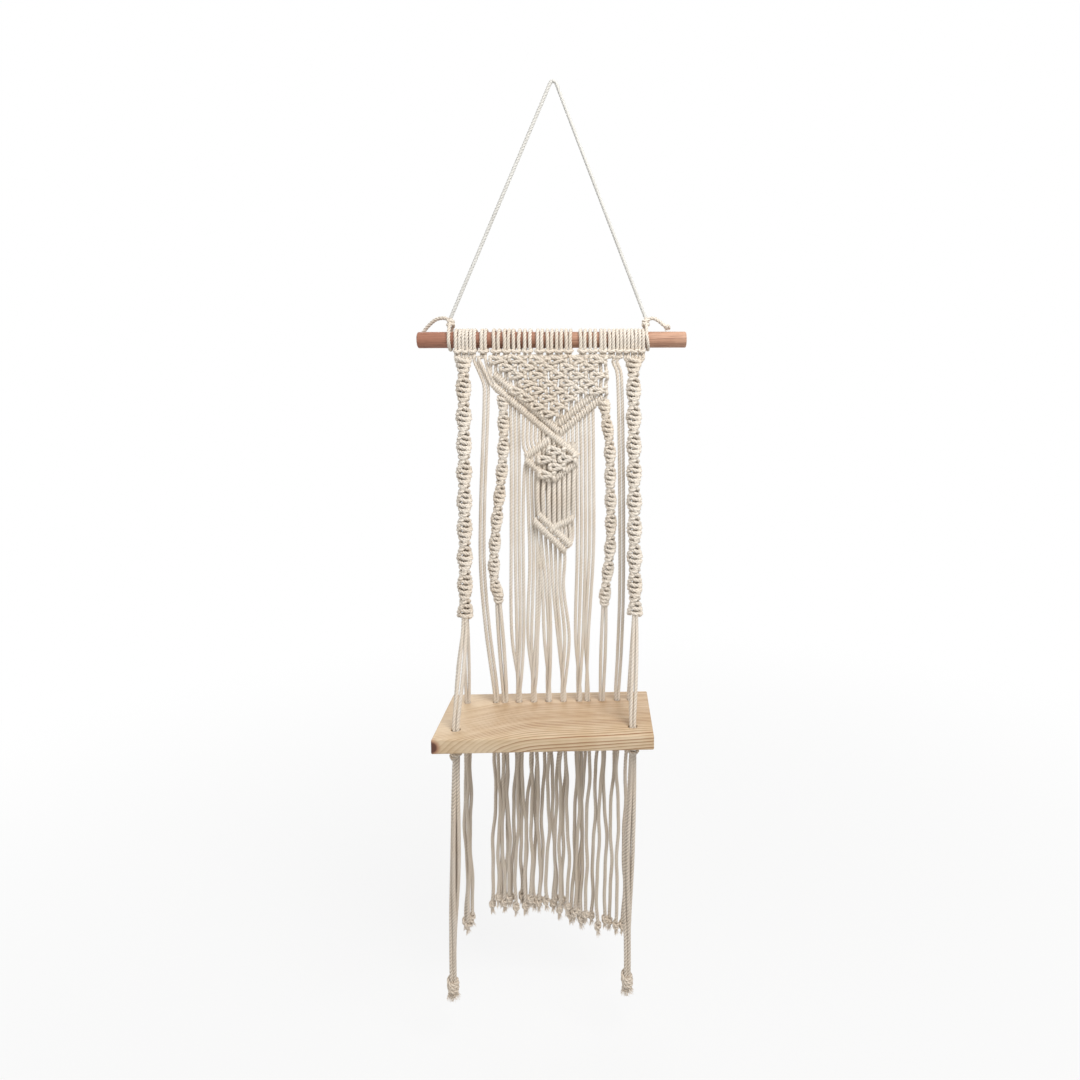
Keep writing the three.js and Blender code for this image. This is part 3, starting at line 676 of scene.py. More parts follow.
class Finishes:
    """The shared shader groups and the finishes made from them."""

    def __init__(self) -> None:
        """Builds the groups, then each finish once."""
        self.rings = self._growth_rings()
        self.streaks = self._fibre_streaks()
        self.cotton = CottonFinish().build(self)
        self.fray = CottonFinish(name="loose_cotton", painted_groove_shade=0.0, streak=0.5).build(self)
        self.pale = CottonFinish(name="pale_cotton", lit=rgb(0.905, 0.90, 0.88), warm=rgb(0.87, 0.862, 0.84),
                                 groove=rgb(0.69, 0.68, 0.65), painted_groove_shade=0.4).build(self)
        self.stain = StainedWoodFinish().build(self)
        self.pine = PineFinish().build(self)

    def _growth_rings(self) -> NodeTree:
        """Makes growth rings round an axis that runs along the wood and may lean out of it.

        Returns:
            The shared group.
        """
        tree = bpy.data.node_groups.new("Growth Rings", "ShaderNodeTree")
        m = TreeMaker(tree)
        m.socket("Place", "Vector")
        for name, value in (("Axis Depth", 0.0), ("Axis Height", 0.0), ("Depth Slope", 0.0),
                            ("Height Slope", 0.0), ("Ring Spacing", 0.003), ("Waviness", 0.002)):
            m.socket(name, "Float", value)
        m.socket("Ring", "Float", out=True)
        given = m.node("NodeGroupInput").outputs
        parts = m.parts(given["Place"])
        away = [m.minus(parts[axis], m.plus(given[f"Axis {way}"], m.times(parts["X"], given[f"{way} Slope"])))
                for axis, way in (("Y", "Depth"), ("Z", "Height"))]
        radius = m.math("SQRT", m.plus(*(m.times(part, part) for part in away)))
        slow, fine = (m.out("ShaderNodeMapping", {"Vector": given["Place"], "Scale": scale})
                      for scale in ((9.0, 26.0, 26.0), (30.0, 240.0, 240.0)))
        wave = m.times(m.minus(m.noise(slow, 1.0, 3.0), 0.5), given["Waviness"])
        jitter = m.times(m.minus(m.noise(fine, 1.0, 2.0), 0.5), m.times(given["Waviness"], 0.16))
        count = m.math("DIVIDE", m.plus(radius, m.plus(wave, jitter)), given["Ring Spacing"])
        share = m.math("FRACT", count)
        late = m.times(m.math("POWER", share, 2.6), m.remap(share, 1.0, 0.9))
        year = m.noise(m.vector(m.math("FLOOR", count), 3.7), 0.71, 0.0)
        m.node("NodeGroupOutput", {"Ring": m.times(late, m.remap(year, 0.2, 0.7, 0.45, 1.25))})
        return tree

    def _fibre_streaks(self) -> NodeTree:
        """Makes fine streaks that run along one axis, for wood fibre and spun cotton.

        Returns:
            The shared group.
        """
        tree = bpy.data.node_groups.new("Fibre Streaks", "ShaderNodeTree")
        m = TreeMaker(tree)
        for name in ("Place", "Stretch"):
            m.socket(name, "Vector")
        for name in ("Streak", "Mottle"):
            m.socket(name, "Float", out=True)
        given = m.node("NodeGroupInput").outputs
        coarse = m.noise(m.vector_math("MULTIPLY", given["Place"], given["Stretch"]), 1.0, 3.0, 0.6)
        mottle = m.noise(given["Place"], 38.0, 2.0, 0.5)
        m.node("NodeGroupOutput", {"Streak": m.remap(coarse, 0.28, 0.72),
                                   "Mottle": m.remap(mottle, 0.3, 0.7)})
        return tree

    def use(self, m: TreeMaker, group: NodeTree, inputs: dict) -> NodeOutputs:
        """Places a shared group in a material and gives its outputs."""
        return m.node("ShaderNodeGroup", inputs, node_tree=group).outputs


@dataclass(frozen=True)
class CottonFinish:
    """Natural laid cotton: matte, with painted shade between the plies and a warm painted shadow below the
    board, and fine fibre along the cord.
    """

    name: str = "natural_cotton"
    lit: tuple = rgb(0.955, 0.922, 0.875)
    warm: tuple = rgb(0.92, 0.872, 0.808)
    # colour painted into the grooves between the plies as shade
    groove: tuple = rgb(0.60, 0.535, 0.465)
    # painted shadow of the board: cords below it take a warmer, darker tone and deeper painted groove shade
    painted_board_shadow: tuple = rgb(0.85, 0.775, 0.69)
    board_shadow_heights: tuple = (-0.700, -0.745)
    board_shadow_share: float = 0.32
    board_shadow_groove_gain: float = 1.4
    painted_groove_shade: float = 0.58
    streak: float = 0.35
    stretch: tuple = (2600.0, 2600.0, 420.0)
    patch_scale: float = 24.0
    sheen: float = 0.18
    sheen_rough: float = 0.6
    specular: float = 0.2

    def build(self, shared: Finishes) -> Material:
        """Makes the material.

        Args:
            shared: the shared groups.

        Returns:
            The material.
        """
        material, m, shader = new_material(self.name)
        fibre = m.node("ShaderNodeAttribute", attribute_name="fibre").outputs["Vector"]
        valley = m.node("ShaderNodeAttribute", attribute_name="groove").outputs["Fac"]
        made = shared.use(m, shared.streaks, {"Place": fibre, "Stretch": self.stretch})
        place = m.place()
        patch = m.remap(m.noise(place, self.patch_scale, 2.0), 0.32, 0.68)
        colour = m.mix(patch, self.lit, self.warm)
        colour = m.mix(m.times(made["Streak"], self.streak), colour, self.warm)
        # painted shadow under the board: from the board down, the colour turns warmer and darker and the
        # groove shade deepens
        low = m.remap(m.parts(place)["Z"], *self.board_shadow_heights)
        colour = m.mix(m.times(low, self.board_shadow_share), colour, self.painted_board_shadow)
        shade = m.remap(low, 0.0, 1.0, self.painted_groove_shade, self.board_shadow_groove_gain * self.painted_groove_shade)
        # painted shade: the grooves between the plies are darkened towards the groove colour
        deep = m.times(m.math("POWER", valley, 1.7), shade)
        m.feed(shader.inputs["Base Color"], m.mix(deep, colour, self.groove))
        m.feed(shader.inputs["Roughness"], m.remap(made["Mottle"], 0.0, 1.0, 0.86, 0.97))
        shader.inputs["Sheen Weight"].default_value = self.sheen
        shader.inputs["Sheen Roughness"].default_value = self.sheen_rough
        shader.inputs["Specular IOR Level"].default_value = self.specular
        m.bump(shader, made["Streak"], 0.45, 0.0003)
        return material


@dataclass(frozen=True)
class StainedWoodFinish:
    """Reddish brown stain on a turned dowel, with grain that runs its length and painted light that makes it
    lighter towards its right end.
    """

    name: str = "stained_wood"
    # painted light along the dowel: darker at its left end and lighter at its right, as if lit from the right
    painted_shade_left: tuple = rgb(0.655, 0.445, 0.355)
    painted_light_right: tuple = rgb(0.82, 0.65, 0.54)
    middle: tuple = rgb(0.63, 0.43, 0.34)
    dark: tuple = rgb(0.42, 0.27, 0.20)
    painted_light_ramp: tuple = (-0.16, 0.15)
    stretch: tuple = (60.0, 2200.0, 2200.0)

    def build(self, shared: Finishes) -> Material:
        """Makes the material.

        Args:
            shared: the shared groups.

        Returns:
            The material.
        """
        material, m, shader = new_material(self.name)
        place = m.place()
        ring = shared.use(m, shared.rings, {"Place": place, "Axis Depth": 0.006, "Axis Height": -0.306,
                                            "Depth Slope": 0.02, "Height Slope": 0.03, "Ring Spacing": 0.0021,
                                            "Waviness": 0.0016})["Ring"]
        fibre = shared.use(m, shared.streaks, {"Place": place, "Stretch": self.stretch})
        # painted light: the colour goes from the shaded left end to the lit right end
        colour = m.mix(m.remap(m.parts(place)["X"], *self.painted_light_ramp), self.painted_shade_left, self.painted_light_right)
        colour = m.mix(m.times(fibre["Mottle"], 0.5), colour, self.middle)
        colour = m.mix(m.times(ring, 0.7), colour, self.dark)
        colour = m.mix(m.times(m.math("POWER", fibre["Streak"], 3.0), 0.5), colour, self.dark)
        m.feed(shader.inputs["Base Color"], colour)
        m.feed(shader.inputs["Roughness"], m.remap(fibre["Streak"], 0.0, 1.0, 0.5, 0.66))
        m.bump(shader, m.plus(m.times(fibre["Streak"], -0.6), m.times(ring, -0.4)), 0.35, 0.0004)
        return material


@dataclass(frozen=True)
class PineFinish:
    """Bare planed pine: cathedral grain on the left of its face, straight grain on the right, one knot."""

    name: str = "planed_pine"
    early: tuple = rgb(0.865, 0.785, 0.665)
    toned: tuple = rgb(0.82, 0.725, 0.59)
    late: tuple = rgb(0.58, 0.41, 0.265)
    knot_dark: tuple = rgb(0.30, 0.14, 0.10)
    knot_rim: tuple = rgb(0.62, 0.38, 0.27)
    knot_place: tuple = (-0.1245, -0.0965, -0.7030)
    knot_pull: tuple = (0.024, 0.0, 0.0, 0.005)
    knot_fade: tuple = (0.0104, 0.0062, 0.0, 0.65)
    knot_core: tuple = (0.0072, 0.0044, 0.0, 0.9)
    cathedral: tuple = (-0.130, -0.015, 0.036, 0.0)
    ring_depth: tuple = (-0.125, -0.020, 0.38, 1.15)
    top_depth: tuple = (-0.6958, -0.6951, 1.0, 1.9)
    stretch: tuple = (34.0, 1500.0, 1500.0)

    def build(self, shared: Finishes) -> Material:
        """Makes the material.

        Args:
            shared: the shared groups.

        Returns:
            The material.
        """
        material, m, shader = new_material(self.name)
        place = m.place()
        where = m.parts(place)
        away = m.vector_math("DISTANCE", place, self.knot_place)
        lift = m.vector(0.0, m.remap(where["X"], *self.cathedral), m.remap(away, *self.knot_pull))
        ring = shared.use(m, shared.rings, {"Place": m.vector_math("ADD", place, lift), "Axis Depth": -0.112,
                                            "Axis Height": -0.7300, "Depth Slope": 0.05, "Height Slope": 0.02,
                                            "Ring Spacing": 0.0030, "Waviness": 0.0038})["Ring"]
        shown = m.times(ring, m.remap(where["X"], *self.ring_depth))
        shown = m.times(shown, m.remap(where["Z"], *self.top_depth))
        fibre = shared.use(m, shared.streaks, {"Place": place, "Stretch": self.stretch})
        colour = m.mix(fibre["Mottle"], self.early, self.toned)
        colour = m.mix(m.math("MINIMUM", shown, 1.0), colour, self.late)
        colour = m.mix(m.times(fibre["Streak"], 0.18), colour, self.late)
        colour = m.mix(m.remap(away, *self.knot_fade), colour, self.knot_rim)
        colour = m.mix(m.remap(away, *self.knot_core), colour, self.knot_dark)
        m.feed(shader.inputs["Base Color"], colour)
        m.feed(shader.inputs["Roughness"], m.remap(ring, 0.0, 1.0, 0.66, 0.52))
        m.bump(shader, m.plus(m.times(fibre["Streak"], -0.4), m.times(ring, 0.6)), 0.22, 0.0004)
        return material


@dataclass
class Workshop:
    """What every sub-assembly uses: the cord trees, the finishes and a seeded source of unevenness."""

    finishes: Finishes
    cord: LaidCordTree = field(default_factory=LaidCordTree)
    tips: FrayedTipTree = field(default_factory=FrayedTipTree)
    uneven: np.random.Generator = field(default_factory=lambda: np.random.default_rng(UNEVEN_SEED))

    def draw(self, low: float, high: float) -> float:
        """Draws the next uneven number."""
        return float(self.uneven.uniform(low, high))

    def run(self, points: list | np.ndarray, girth: float = 1.0, spacing: float = 1.1) -> CordRun:
        """Makes a smooth run through the points, with its own turn of the plies."""
        return CordRun(smoothed(points, spacing), girth, self.draw(0, 2 * pi))

    def piece(self, name: str, runs: list[CordRun], body: str | None, nodes: list[str],
              diameter: float = S.cord) -> Object:
        """Lays a cotton piece that rides on a body and stands for nodes.

        Args:
            name: the piece's name.
            runs: its cords.
            body: the body that it rides on, or None to leave it unattached.
            nodes: the nodes that it replaces.
            diameter: the cord's diameter in millimetres.

        Returns:
            The piece.
        """
        made = self.cord.lay(name, runs, self.finishes.cotton, diameter)
        settle(made, body, "cotton_cord", *nodes)
        return made

    def ends(self, name: str, knots: list[CordRun], tips: list[np.ndarray], body: str, seed: int,
             length: float, diameter: float = S.cord) -> Object:
        """Makes the knots and frayed tips at the ends of cords as one piece.

        Args:
            name: the piece's name.
            knots: the knots, or none.
            tips: where the fibres start.
            body: the body that it rides on.
            seed: seed of the fibres' fan.
            length: length of the longest fibre in millimetres.
            diameter: diameter of the knots' cord in millimetres.

        Returns:
            The piece.
        """
        made = [self.cord.lay(f"{name}_knots", knots, self.finishes.cotton, diameter)] if knots else []
        made.append(self.tips.open_ends(name, tips, self.finishes.fray, seed, length))
        piece = joined(name, made) if knots else made[0]
        settle(piece, body, "cotton_cord")
        return piece


FOUR = ((-1, -1), (1, -1), (-1, 1), (1, 1))
LEAD_SPIRAL = np.array([
    (-1.0, 0.0, 0.0), (-1.02, -0.40, -0.12), (-0.70, -0.92, -0.26), (0.0, -1.14, -0.50), (0.58, -0.70, -0.72),
    (0.80, 0.10, -0.62), (0.92, 0.98, -0.54), (1.05, 0.72, -0.78), (1.0, 0.0, -1.0),
])
LEAD_FLAT = np.array([
    (-1.0, 0.0, 0.0), (-0.95, -0.45, -0.08), (-0.60, -1.05, -0.16), (0.0, -1.25, -0.48), (0.48, -1.0, -0.80),
    (0.74, -0.15, -0.88), (0.95, 0.15, -0.95), (1.0, 0.0, -1.0),
])
RETURN_FLAT = np.array([
    (1.0, 0.0, 0.0), (1.0, -0.85, -0.12), (0.90, -1.40, -0.38), (0.78, -0.40, -0.70), (0.30, 1.0, -0.60),
    (-0.35, 1.0, -0.42), (-0.76, 0.20, -0.30), (-0.90, -1.05, -0.46), (-0.94, -1.45, -0.70),
    (-0.99, -0.70, -0.92), (-1.0, 0.0, -1.0),
])


def half_knot(form: Form, width: float, core: float, height: float, flat: bool = False) -> np.ndarray:
    """One tying cord's path through a half knot, from its top corner to its bottom corner.

    Args:
        form: which of the two tying cords it is.
        width: half the knot's width to the cord's centre.
        core: depth of the tying cord's centre in front of the cords inside.
        height: the knot's height.
        flat: True for the half of a flat square knot, whose loops stand up at its sides.

    Returns:
        Points relative to the knot's top centre.
    """
    if flat:
        return (LEAD_FLAT if form is Form.LEAD else RETURN_FLAT) * (width, core, height)
    shape = LEAD_SPIRAL * (width, core, height)
    return shape * (-1, -1, 1) if form is Form.RETURN else shape


def wrapped_knot(centre: np.ndarray, radius: float, turns: float, rise: float, start: float = 0.0,
                 slant: float = 0.35, lead: float = 3.0) -> np.ndarray:
    """A cord's path through a small pulled knot: in at the top, slanting turns, out below.

    Args:
        centre: the knot's middle.
        radius: radius of the turns to the cord's centre.
        turns: number of turns.
        rise: height of one turn.
        start: angle of the first turn.
        slant: how far each turn tips over.
        lead: length of straight cord above and below.

    Returns:
        The path's points.
    """
    half = turns * rise / 2
    points = [(0, 0, half + lead), (0, 0, half + 0.35 * lead)]
    for step in range(int(turns * 8) + 1):
        angle = start + 2 * pi * step / 8
        x, y = radius * cos(angle), radius * sin(angle)
        points.append((x, y, half - rise * step / 8 + slant * y))
    points += [(0, 0, -half - 0.35 * lead), (0, 0, -half - lead)]
    return np.array(points) + centre


@dataclass
class Sinnet:
    """A chain of half knots that turns as it goes down, tied round a core of straight cords."""

    shop: Workshop
    name: str
    route: list
    width: float
    core: float
    knot_height: float
    pitch: float
    core_girth: float
    nodes: list
    reaches_board: bool = False

    def place(self, z: float) -> np.ndarray:
        """The chain's centre at a height."""
        route = np.array(self.route)[::-1]
        return np.array([np.interp(z, route[:, 2], route[:, axis]) for axis in range(3)])

    def tied(self, first: Form) -> np.ndarray:
        """The path of one of the two tying cords down the whole chain.

        Args:
            first: its form in the first knot.

        Returns:
            The path's points.
        """
        top, bottom = self.route[0][2], self.route[-1][2]
        count = int((top - bottom) / self.knot_height)
        points = []
        for knot in range(count):
            form = first if knot % 2 == 0 else (Form.RETURN if first is Form.LEAD else Form.LEAD)
            uneven = 1 + 0.05 * sin(1.7 * knot + 0.6 * (first is Form.LEAD))
            shape = half_knot(form, self.width * uneven, self.core, self.knot_height)
            for x, y, z in shape[:-1] if knot + 1 < count else shape:
                down = top - knot * self.knot_height + z
                turn = -2 * pi * (top - down) / self.pitch
                near, far = cos(turn), sin(turn)
                centre = self.place(down)
                points.append((centre[0] + x * near - y * far, centre[1] + x * far + y * near, down))
        return np.array(points)

    def build(self, extra: list[CordRun]) -> None:
        """Lays the chain with the other runs of its piece.

        Args:
            extra: cords that gather into the chain or leave it.
        """
        runs = [self.shop.run(self.tied(form), girth=1.1, spacing=0.95) for form in Form]
        runs.append(self.shop.run(self.route, girth=self.core_girth, spacing=3.0))
        if self.reaches_board:
            hold_to_board(self.shop.piece(self.name, runs + extra, None, self.nodes))
        else:
            self.shop.piece(self.name, runs + extra, "panel", self.nodes)


@dataclass
class HitchRow:
    """The row of lark's heads that hangs the work from the dowel, set unevenly along it."""

    shop: Workshop
    round_radius: float = 10.95
    cord: float = 4.2
    least_gap: float = 1.95
    foot_in: float = 0.45
    longest_bar: float = 4.6
    bar_clear: float = 1.1
    loose: float = 0.26
    centres: tuple = (-107.4, -99.3, -91.1, -79.1, -65.1, -53.5, -43.0, -30.6, -17.0, -6.0,
                      4.3, 14.7, 30.8, 41.8, 53.3, 62.8, 71.5, 79.7, 88.0, 96.2)
    half_gaps: tuple = (2.05, 2.05, 2.05, 2.1, 2.75, 2.3, 3.2, 3.2, 2.55, 2.55,
                        2.75, 2.5, 2.55, 3.0, 2.1, 2.25, 2.0, 2.05, 2.1, 2.1)

    def foot_gap(self, index: int) -> float:
        """Half the distance between a lark's head's strands where they pass the bar."""
        return max(self.least_gap, self.half_gaps[index] - self.foot_in)

    def bar_reach(self, index: int) -> float:
        """How far the bar in front reaches to each side, less where a neighbour is near.

        Args:
            index: the lark's head's number.

        Returns:
            The reach in millimetres.
        """
        places = self.centres
        near = [places[other] for other in (index - 1, index + 1) if 0 <= other < len(places)]
        gap = min(abs(place - places[index]) for place in near)
        return min(self.longest_bar, gap / 2 - self.bar_clear)

    def half(self, index: int, side: int) -> list:
        """Half a lark's head, from its hanging strand over the dowel to the middle of the bar.

        Args:
            index: the lark's head's number.
            side: -1 for its left half, 1 for its right.

        Returns:
            The path's points.
        """
        x, bar = self.centres[index], side * self.bar_reach(index)
        lean, bow, sag = (self.shop.draw(-self.loose, self.loose) for _ in range(3))
        low, high = x + side * self.foot_gap(index), x + side * (self.half_gaps[index] + 0.1) + lean
        points = [(low, S.panel_y, S.work_top - 3.5), (low, -9.7, S.bar_z),
                  (low + side * 0.1, -10.5, S.dowel_z - 9.0)]
        for step in range(10):
            angle = radians(4 + 256 * step / 9)
            share = min(1.0, 1.4 * sin(angle)) if angle < pi / 2 else 1.0
            across = low + (high - low) * max(share, 0.0) + bow * sin(2 * angle)
            points.append((across, -self.round_radius * cos(angle),
                           S.dowel_z + self.round_radius * sin(angle)))
        return points + [(x + 0.8 * bar, -4.6, S.bar_z + 3.6), (x + bar, -9.2, S.bar_z + 2.8),
                         (x + 0.8 * bar, -13.0, S.bar_z + 1.9), (x + side * 0.7, -14.2, S.bar_z + 1.2 + sag)]

    def strands(self) -> list[float]:
        """Place of each hanging strand's foot, from left to right."""
        return [x + side * self.foot_gap(index) for index, x in enumerate(self.centres) for side in (-1, 1)]

    def build(self) -> None:
        """Lays the lark's heads in their five groups."""
        names = (("left_outer_hitches", 3), ("left_inner_hitches", 3), ("centre_hitches", 8),
                 ("right_inner_hitches", 3), ("right_outer_hitches", 3))
        placed = 0
        for name, count in names:
            runs = [self.shop.run(self.half(index, -1) + self.half(index, 1)[::-1], spacing=1.0)
                    for index in range(placed, placed + count)]
            self.shop.piece(f"cord_{name}", runs, "panel", [name], self.cord)
            placed += count


@dataclass
class Hanger:
    """The dowel, and the cord that it hangs by with its two knots."""

    shop: Workshop
    round_radius: float = 11.1
    end_round: float = 1.5
    sides: int = 72
    bend_radius: float = 3.5
    bend_z: float = -1.5
    foot_rise: float = 7.3
    cord_girth: float = 1.1
    tail_girth: float = 1.12
    left_tail: tuple = ((0, 0.25, 0), (-1.25, 1, 1.75), (-4.25, 2, 1.75), (-7.5, 3, -0.75),
                        (-9.25, 3.4, -3.25))
    right_tail: tuple = ((0, -0.12, 0.2), (1.0, -0.25, 1.5), (2.2, -0.38, 1.7), (4.0, -0.38, 0.7),
                         (5.2, -0.3, -0.3), (6.0, -0.25, -0.7))
    knot_lead: tuple = ((0, 0, 8), (0.3, -1.4, 3.5), (0.6, -6.0, -3.0))
    knot_turns: tuple = ((-0.4, 6.0, -3.6), (-2.7, 2.6, -0.8), (-2.2, -2.5, 0.7), (1.6, -3.6, -0.4),
                         (3.2, 0.2, 0.2), (1.3, 3.3, 2.3), (-2.4, 1.9, 3.1), (-2.0, -2.1, 3.9),
                         (1.4, -2.4, 3.9))

    def build(self) -> None:
        """Builds the dowel, the hanging cord and the knots."""
        self.dowel()
        self.hanging_cord()
        self.knot("left", S.left_wrap, 0.0, self.left_tail, -1)
        self.knot("right", S.right_wrap, 1.8, self.right_tail, 1)

    def dowel(self) -> None:
        """Turns the dowel with rounded end edges and a slightly uneven surface."""
        half, radius, soft = S.dowel_length / 2, S.dowel_radius, self.end_round
        profile = [(half + 0.25, 0.4 * radius), (half + 0.15, 0.75 * radius)]
        for step in range(7):
            angle = pi / 2 * step / 6
            profile.append((half - soft + soft * cos(angle), radius - soft + soft * sin(angle)))
        body = [(along, radius) for along in np.linspace(half - 6, -half + 6, 47)]
        mesh = bmesh.new()
        rings = []
        for along, reach in profile + body + [(-along, reach) for along, reach in profile[::-1]]:
            rings.append([])
            for side in range(self.sides):
                angle = 2 * pi * side / self.sides
                wave = 0.10 * sin(3 * angle + along / 23) * sin(along / 31 + 1)
                out = reach + wave * min(reach / radius, 1)
                rings[-1].append(mesh.verts.new(((S.dowel_x + along) * MM, out * cos(angle) * MM,
                                                 (S.dowel_z + out * sin(angle)) * MM)))
        close_rings(mesh, rings)
        settle(as_piece("turned_dowel", mesh, self.shop.finishes.stain), "hanger", "stained_wood", "dowel")

    def line(self) -> list:
        """The hanging cord's route from knot to knot over its fixing.

        Returns:
            The route's points.
        """
        bend, foot = self.bend_radius, S.knot_z + self.foot_rise
        rise = self.bend_z - foot
        left = atan2(rise, -S.left_wrap) + asin(bend / hypot(rise, S.left_wrap))
        right = atan2(rise, S.right_wrap) + asin(bend / hypot(rise, S.right_wrap))
        over = [(bend * cos(turn), 0.0, self.bend_z + bend * sin(turn))
                for turn in np.linspace(pi / 2 + left, pi / 2 - right, 9)]
        legs = [np.linspace((S.left_wrap, 0, foot), over[0], 14)[:-1], np.array(over),
                np.linspace(over[-1], (S.right_wrap, 0, foot), 14)[1:]]
        return [tuple(point) for point in np.concatenate(legs)]

    def hanging_cord(self) -> None:
        """Lays the taut cord that goes over the fixing."""
        run = self.shop.run(self.line(), girth=self.cord_girth)
        piece = self.shop.piece("taut_hanging_cord", [run], "hanger", ["hanging_cord"])
        piece.data.materials[0] = self.shop.finishes.pale

    def knot(self, side: str, x: float, lean: float, tail: tuple, way: int) -> None:
        """Ties one end of the hanging cord round the dowel and leaves its tail.

        Args:
            side: left or right.
            x: the knot's place along the dowel.
            lean: how far the turn round the dowel leans.
            tail: the tail's points from the knot, in cord diameters.
            way: -1 or 1, to which side the knot is tied.
        """
        z, r = S.knot_z, self.round_radius
        points = [(x + across * way, back, z + up) for across, back, up in self.knot_lead]
        for step in range(9):
            angle = radians(28 - 236 * step / 8)
            along = lean * sin(pi * step / 8)
            points.append((x + 0.6 * way + along, -r * cos(angle), S.dowel_z + r * sin(angle)))
        points += [(x + across * way, back, z + up) for across, back, up in self.knot_turns]
        tail = [(x + across * S.cord, back * S.cord, z + up * S.cord) for across, back, up in tail]
        points.append(tuple(0.5 * (np.array(points[-1]) + np.array(tail[1]))))
        nodes = [f"{side}_hanging_knot"]
        self.shop.piece(f"{side}_tied_knot", [self.shop.run(points, spacing=0.95)], "hanger", nodes)
        run = self.shop.run(tail, girth=self.tail_girth)
        piece = self.shop.piece(f"{side}_tail", [run], "hanger", nodes)
        end, before = run.points[-1], run.points[-4]
        aim = (end - before) / np.linalg.norm(end - before)
        knots = []
        if side == "right":
            turns = wrapped_knot(np.zeros(3), radius=1.9, turns=1.7, rise=2.6, start=0.5, slant=0.3, lead=1.5)
            knots = [self.shop.run(turns[:, [2, 1, 0]] * (1, 1, -1) + end)]
        brush = self.shop.ends(f"{side}_tail_end", knots, [end - aim], "hanger", seed=5, length=6.0,
                               diameter=3.4)


@dataclass
class SideSinnets:
    """The two outer chains, with the cords that part below them for the board's corners."""

    shop: Workshop
    width: float = 6.1
    core: float = 4.2
    knot_height: float = 5.3
    pitch: float = 62.0
    core_girth: float = 1.25
    left: float = -101.0
    right: float = 87.0

    def build(self, feet: list[float]) -> None:
        """Ties both chains and hangs the corner cords.

        Args:
            feet: the places of the row's strands.
        """
        for side, x, hole, strands in (("left", self.left, S.hole_left, feet[:5]),
                                       ("right", self.right, S.hole_right, feet[-6:])):
            route = [(x, S.panel_y, S.work_top - 3.0), (x, S.sinnet_y, S.sinnet_end)]
            y, z = S.panel_y, S.work_top
            gather = [self.shop.run([(foot, y, z - 1.5), (foot, y - 0.3, z - 4),
                                     (x + 0.35 * (foot - x), y - 0.6, z - 13)]) for foot in strands]
            Sinnet(self.shop, f"cord_{side}_outer_sinnet", route, self.width, self.core, self.knot_height,
                   self.pitch, self.core_girth, [f"{side}_outer_sinnet"]).build(gather)
            self.front(side, x, hole)
            self.rear(side, x, hole)

    def front(self, side: str, x: float, hole: float) -> None:
        """Hangs the four cords that go forward to the front hole.

        Args:
            side: left or right.
            x: place of the chain across.
            hole: place of the hole across.
        """
        runs, y, z = [], S.sinnet_y, S.sinnet_end
        for index, (across, through) in enumerate(FOUR):
            dx, dy = 1.75 * across, 1.6 * through
            bow = 1.3 * sin(2.1 * index + 0.5)
            runs.append(self.shop.run([
                (x + 0.8 * dx, y - 2.2 + 0.5 * dy, z + 9), (x + dx, y - 4 + 0.6 * dy, z - 6),
                (0.55 * x + 0.45 * hole + 1.3 * dx + bow, -46 + dy, z - 44),
                (hole + 1.1 * dx, -70.2 + dy, S.board_top + 6),
                (hole + 0.95 * dx, S.front_hole_y + dy, S.board_top - 4)]))
        piece = self.shop.piece(f"cord_{side}_front", runs, None, [f"{side}_front_cords"])
        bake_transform(piece)

    def rear(self, side: str, x: float, hole: float) -> None:
        """Hangs the two cords that go back to the rear corner hole.

        Args:
            side: left or right.
            x: place of the chain across.
            hole: place of the hole across.
        """
        y, z = S.sinnet_y, S.sinnet_end
        runs = [self.shop.run([
            (x + 0.6 * dx, y + 1.5, z + 9), (x + dx, y + 4.2, z - 6),
            (0.5 * x + 0.5 * hole + 1.2 * dx, -10, z - 55),
            (hole + 0.9 * dx, -0.6, S.board_top + 6), (hole + 0.8 * dx, 0.0, S.board_top - 4)])
            for dx in (-1.9, 1.9)]
        hold_to_board(self.shop.piece(f"cord_{side}_rear", runs, None, [f"{side}_rear_cords"]))


def hold_to_board(piece: Object) -> None:
    """Bakes a piece's place into its mesh and leaves it on no body."""
    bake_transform(piece)


@dataclass(frozen=True)
class BandLine:
    """One row of double half hitches along a straight line."""

    start: tuple
    end: tuple

    def at(self, x: float) -> float:
        """Height of the band's centre at a place across."""
        share = (x - self.start[0]) / (self.end[0] - self.start[0])
        return self.start[1] + share * (self.end[1] - self.start[1])

    def shifted(self, distance: float) -> "BandLine":
        """The same line moved square to itself.

        Args:
            distance: how far, up where it is positive.

        Returns:
            The moved line.
        """
        dx, dz = self.end[0] - self.start[0], self.end[1] - self.start[1]
        size = hypot(dx, dz)
        across = (-dz / size, dx / size) if dx > 0 else (dz / size, -dx / size)
        return BandLine((self.start[0] + distance * across[0], self.start[1] + distance * across[1]),
                        (self.end[0] + distance * across[0], self.end[1] + distance * across[1]))

    @property
    def slope(self) -> float:
        """How steeply the band falls."""
        return abs((self.end[1] - self.start[1]) / (self.end[0] - self.start[0]))

    def edge(self, x: float, up: bool) -> float:
        """Height of the band's upper or lower side at a place across."""
        reach = 4.3 * hypot(1, self.slope)
        return self.at(x) + (reach if up else -reach)


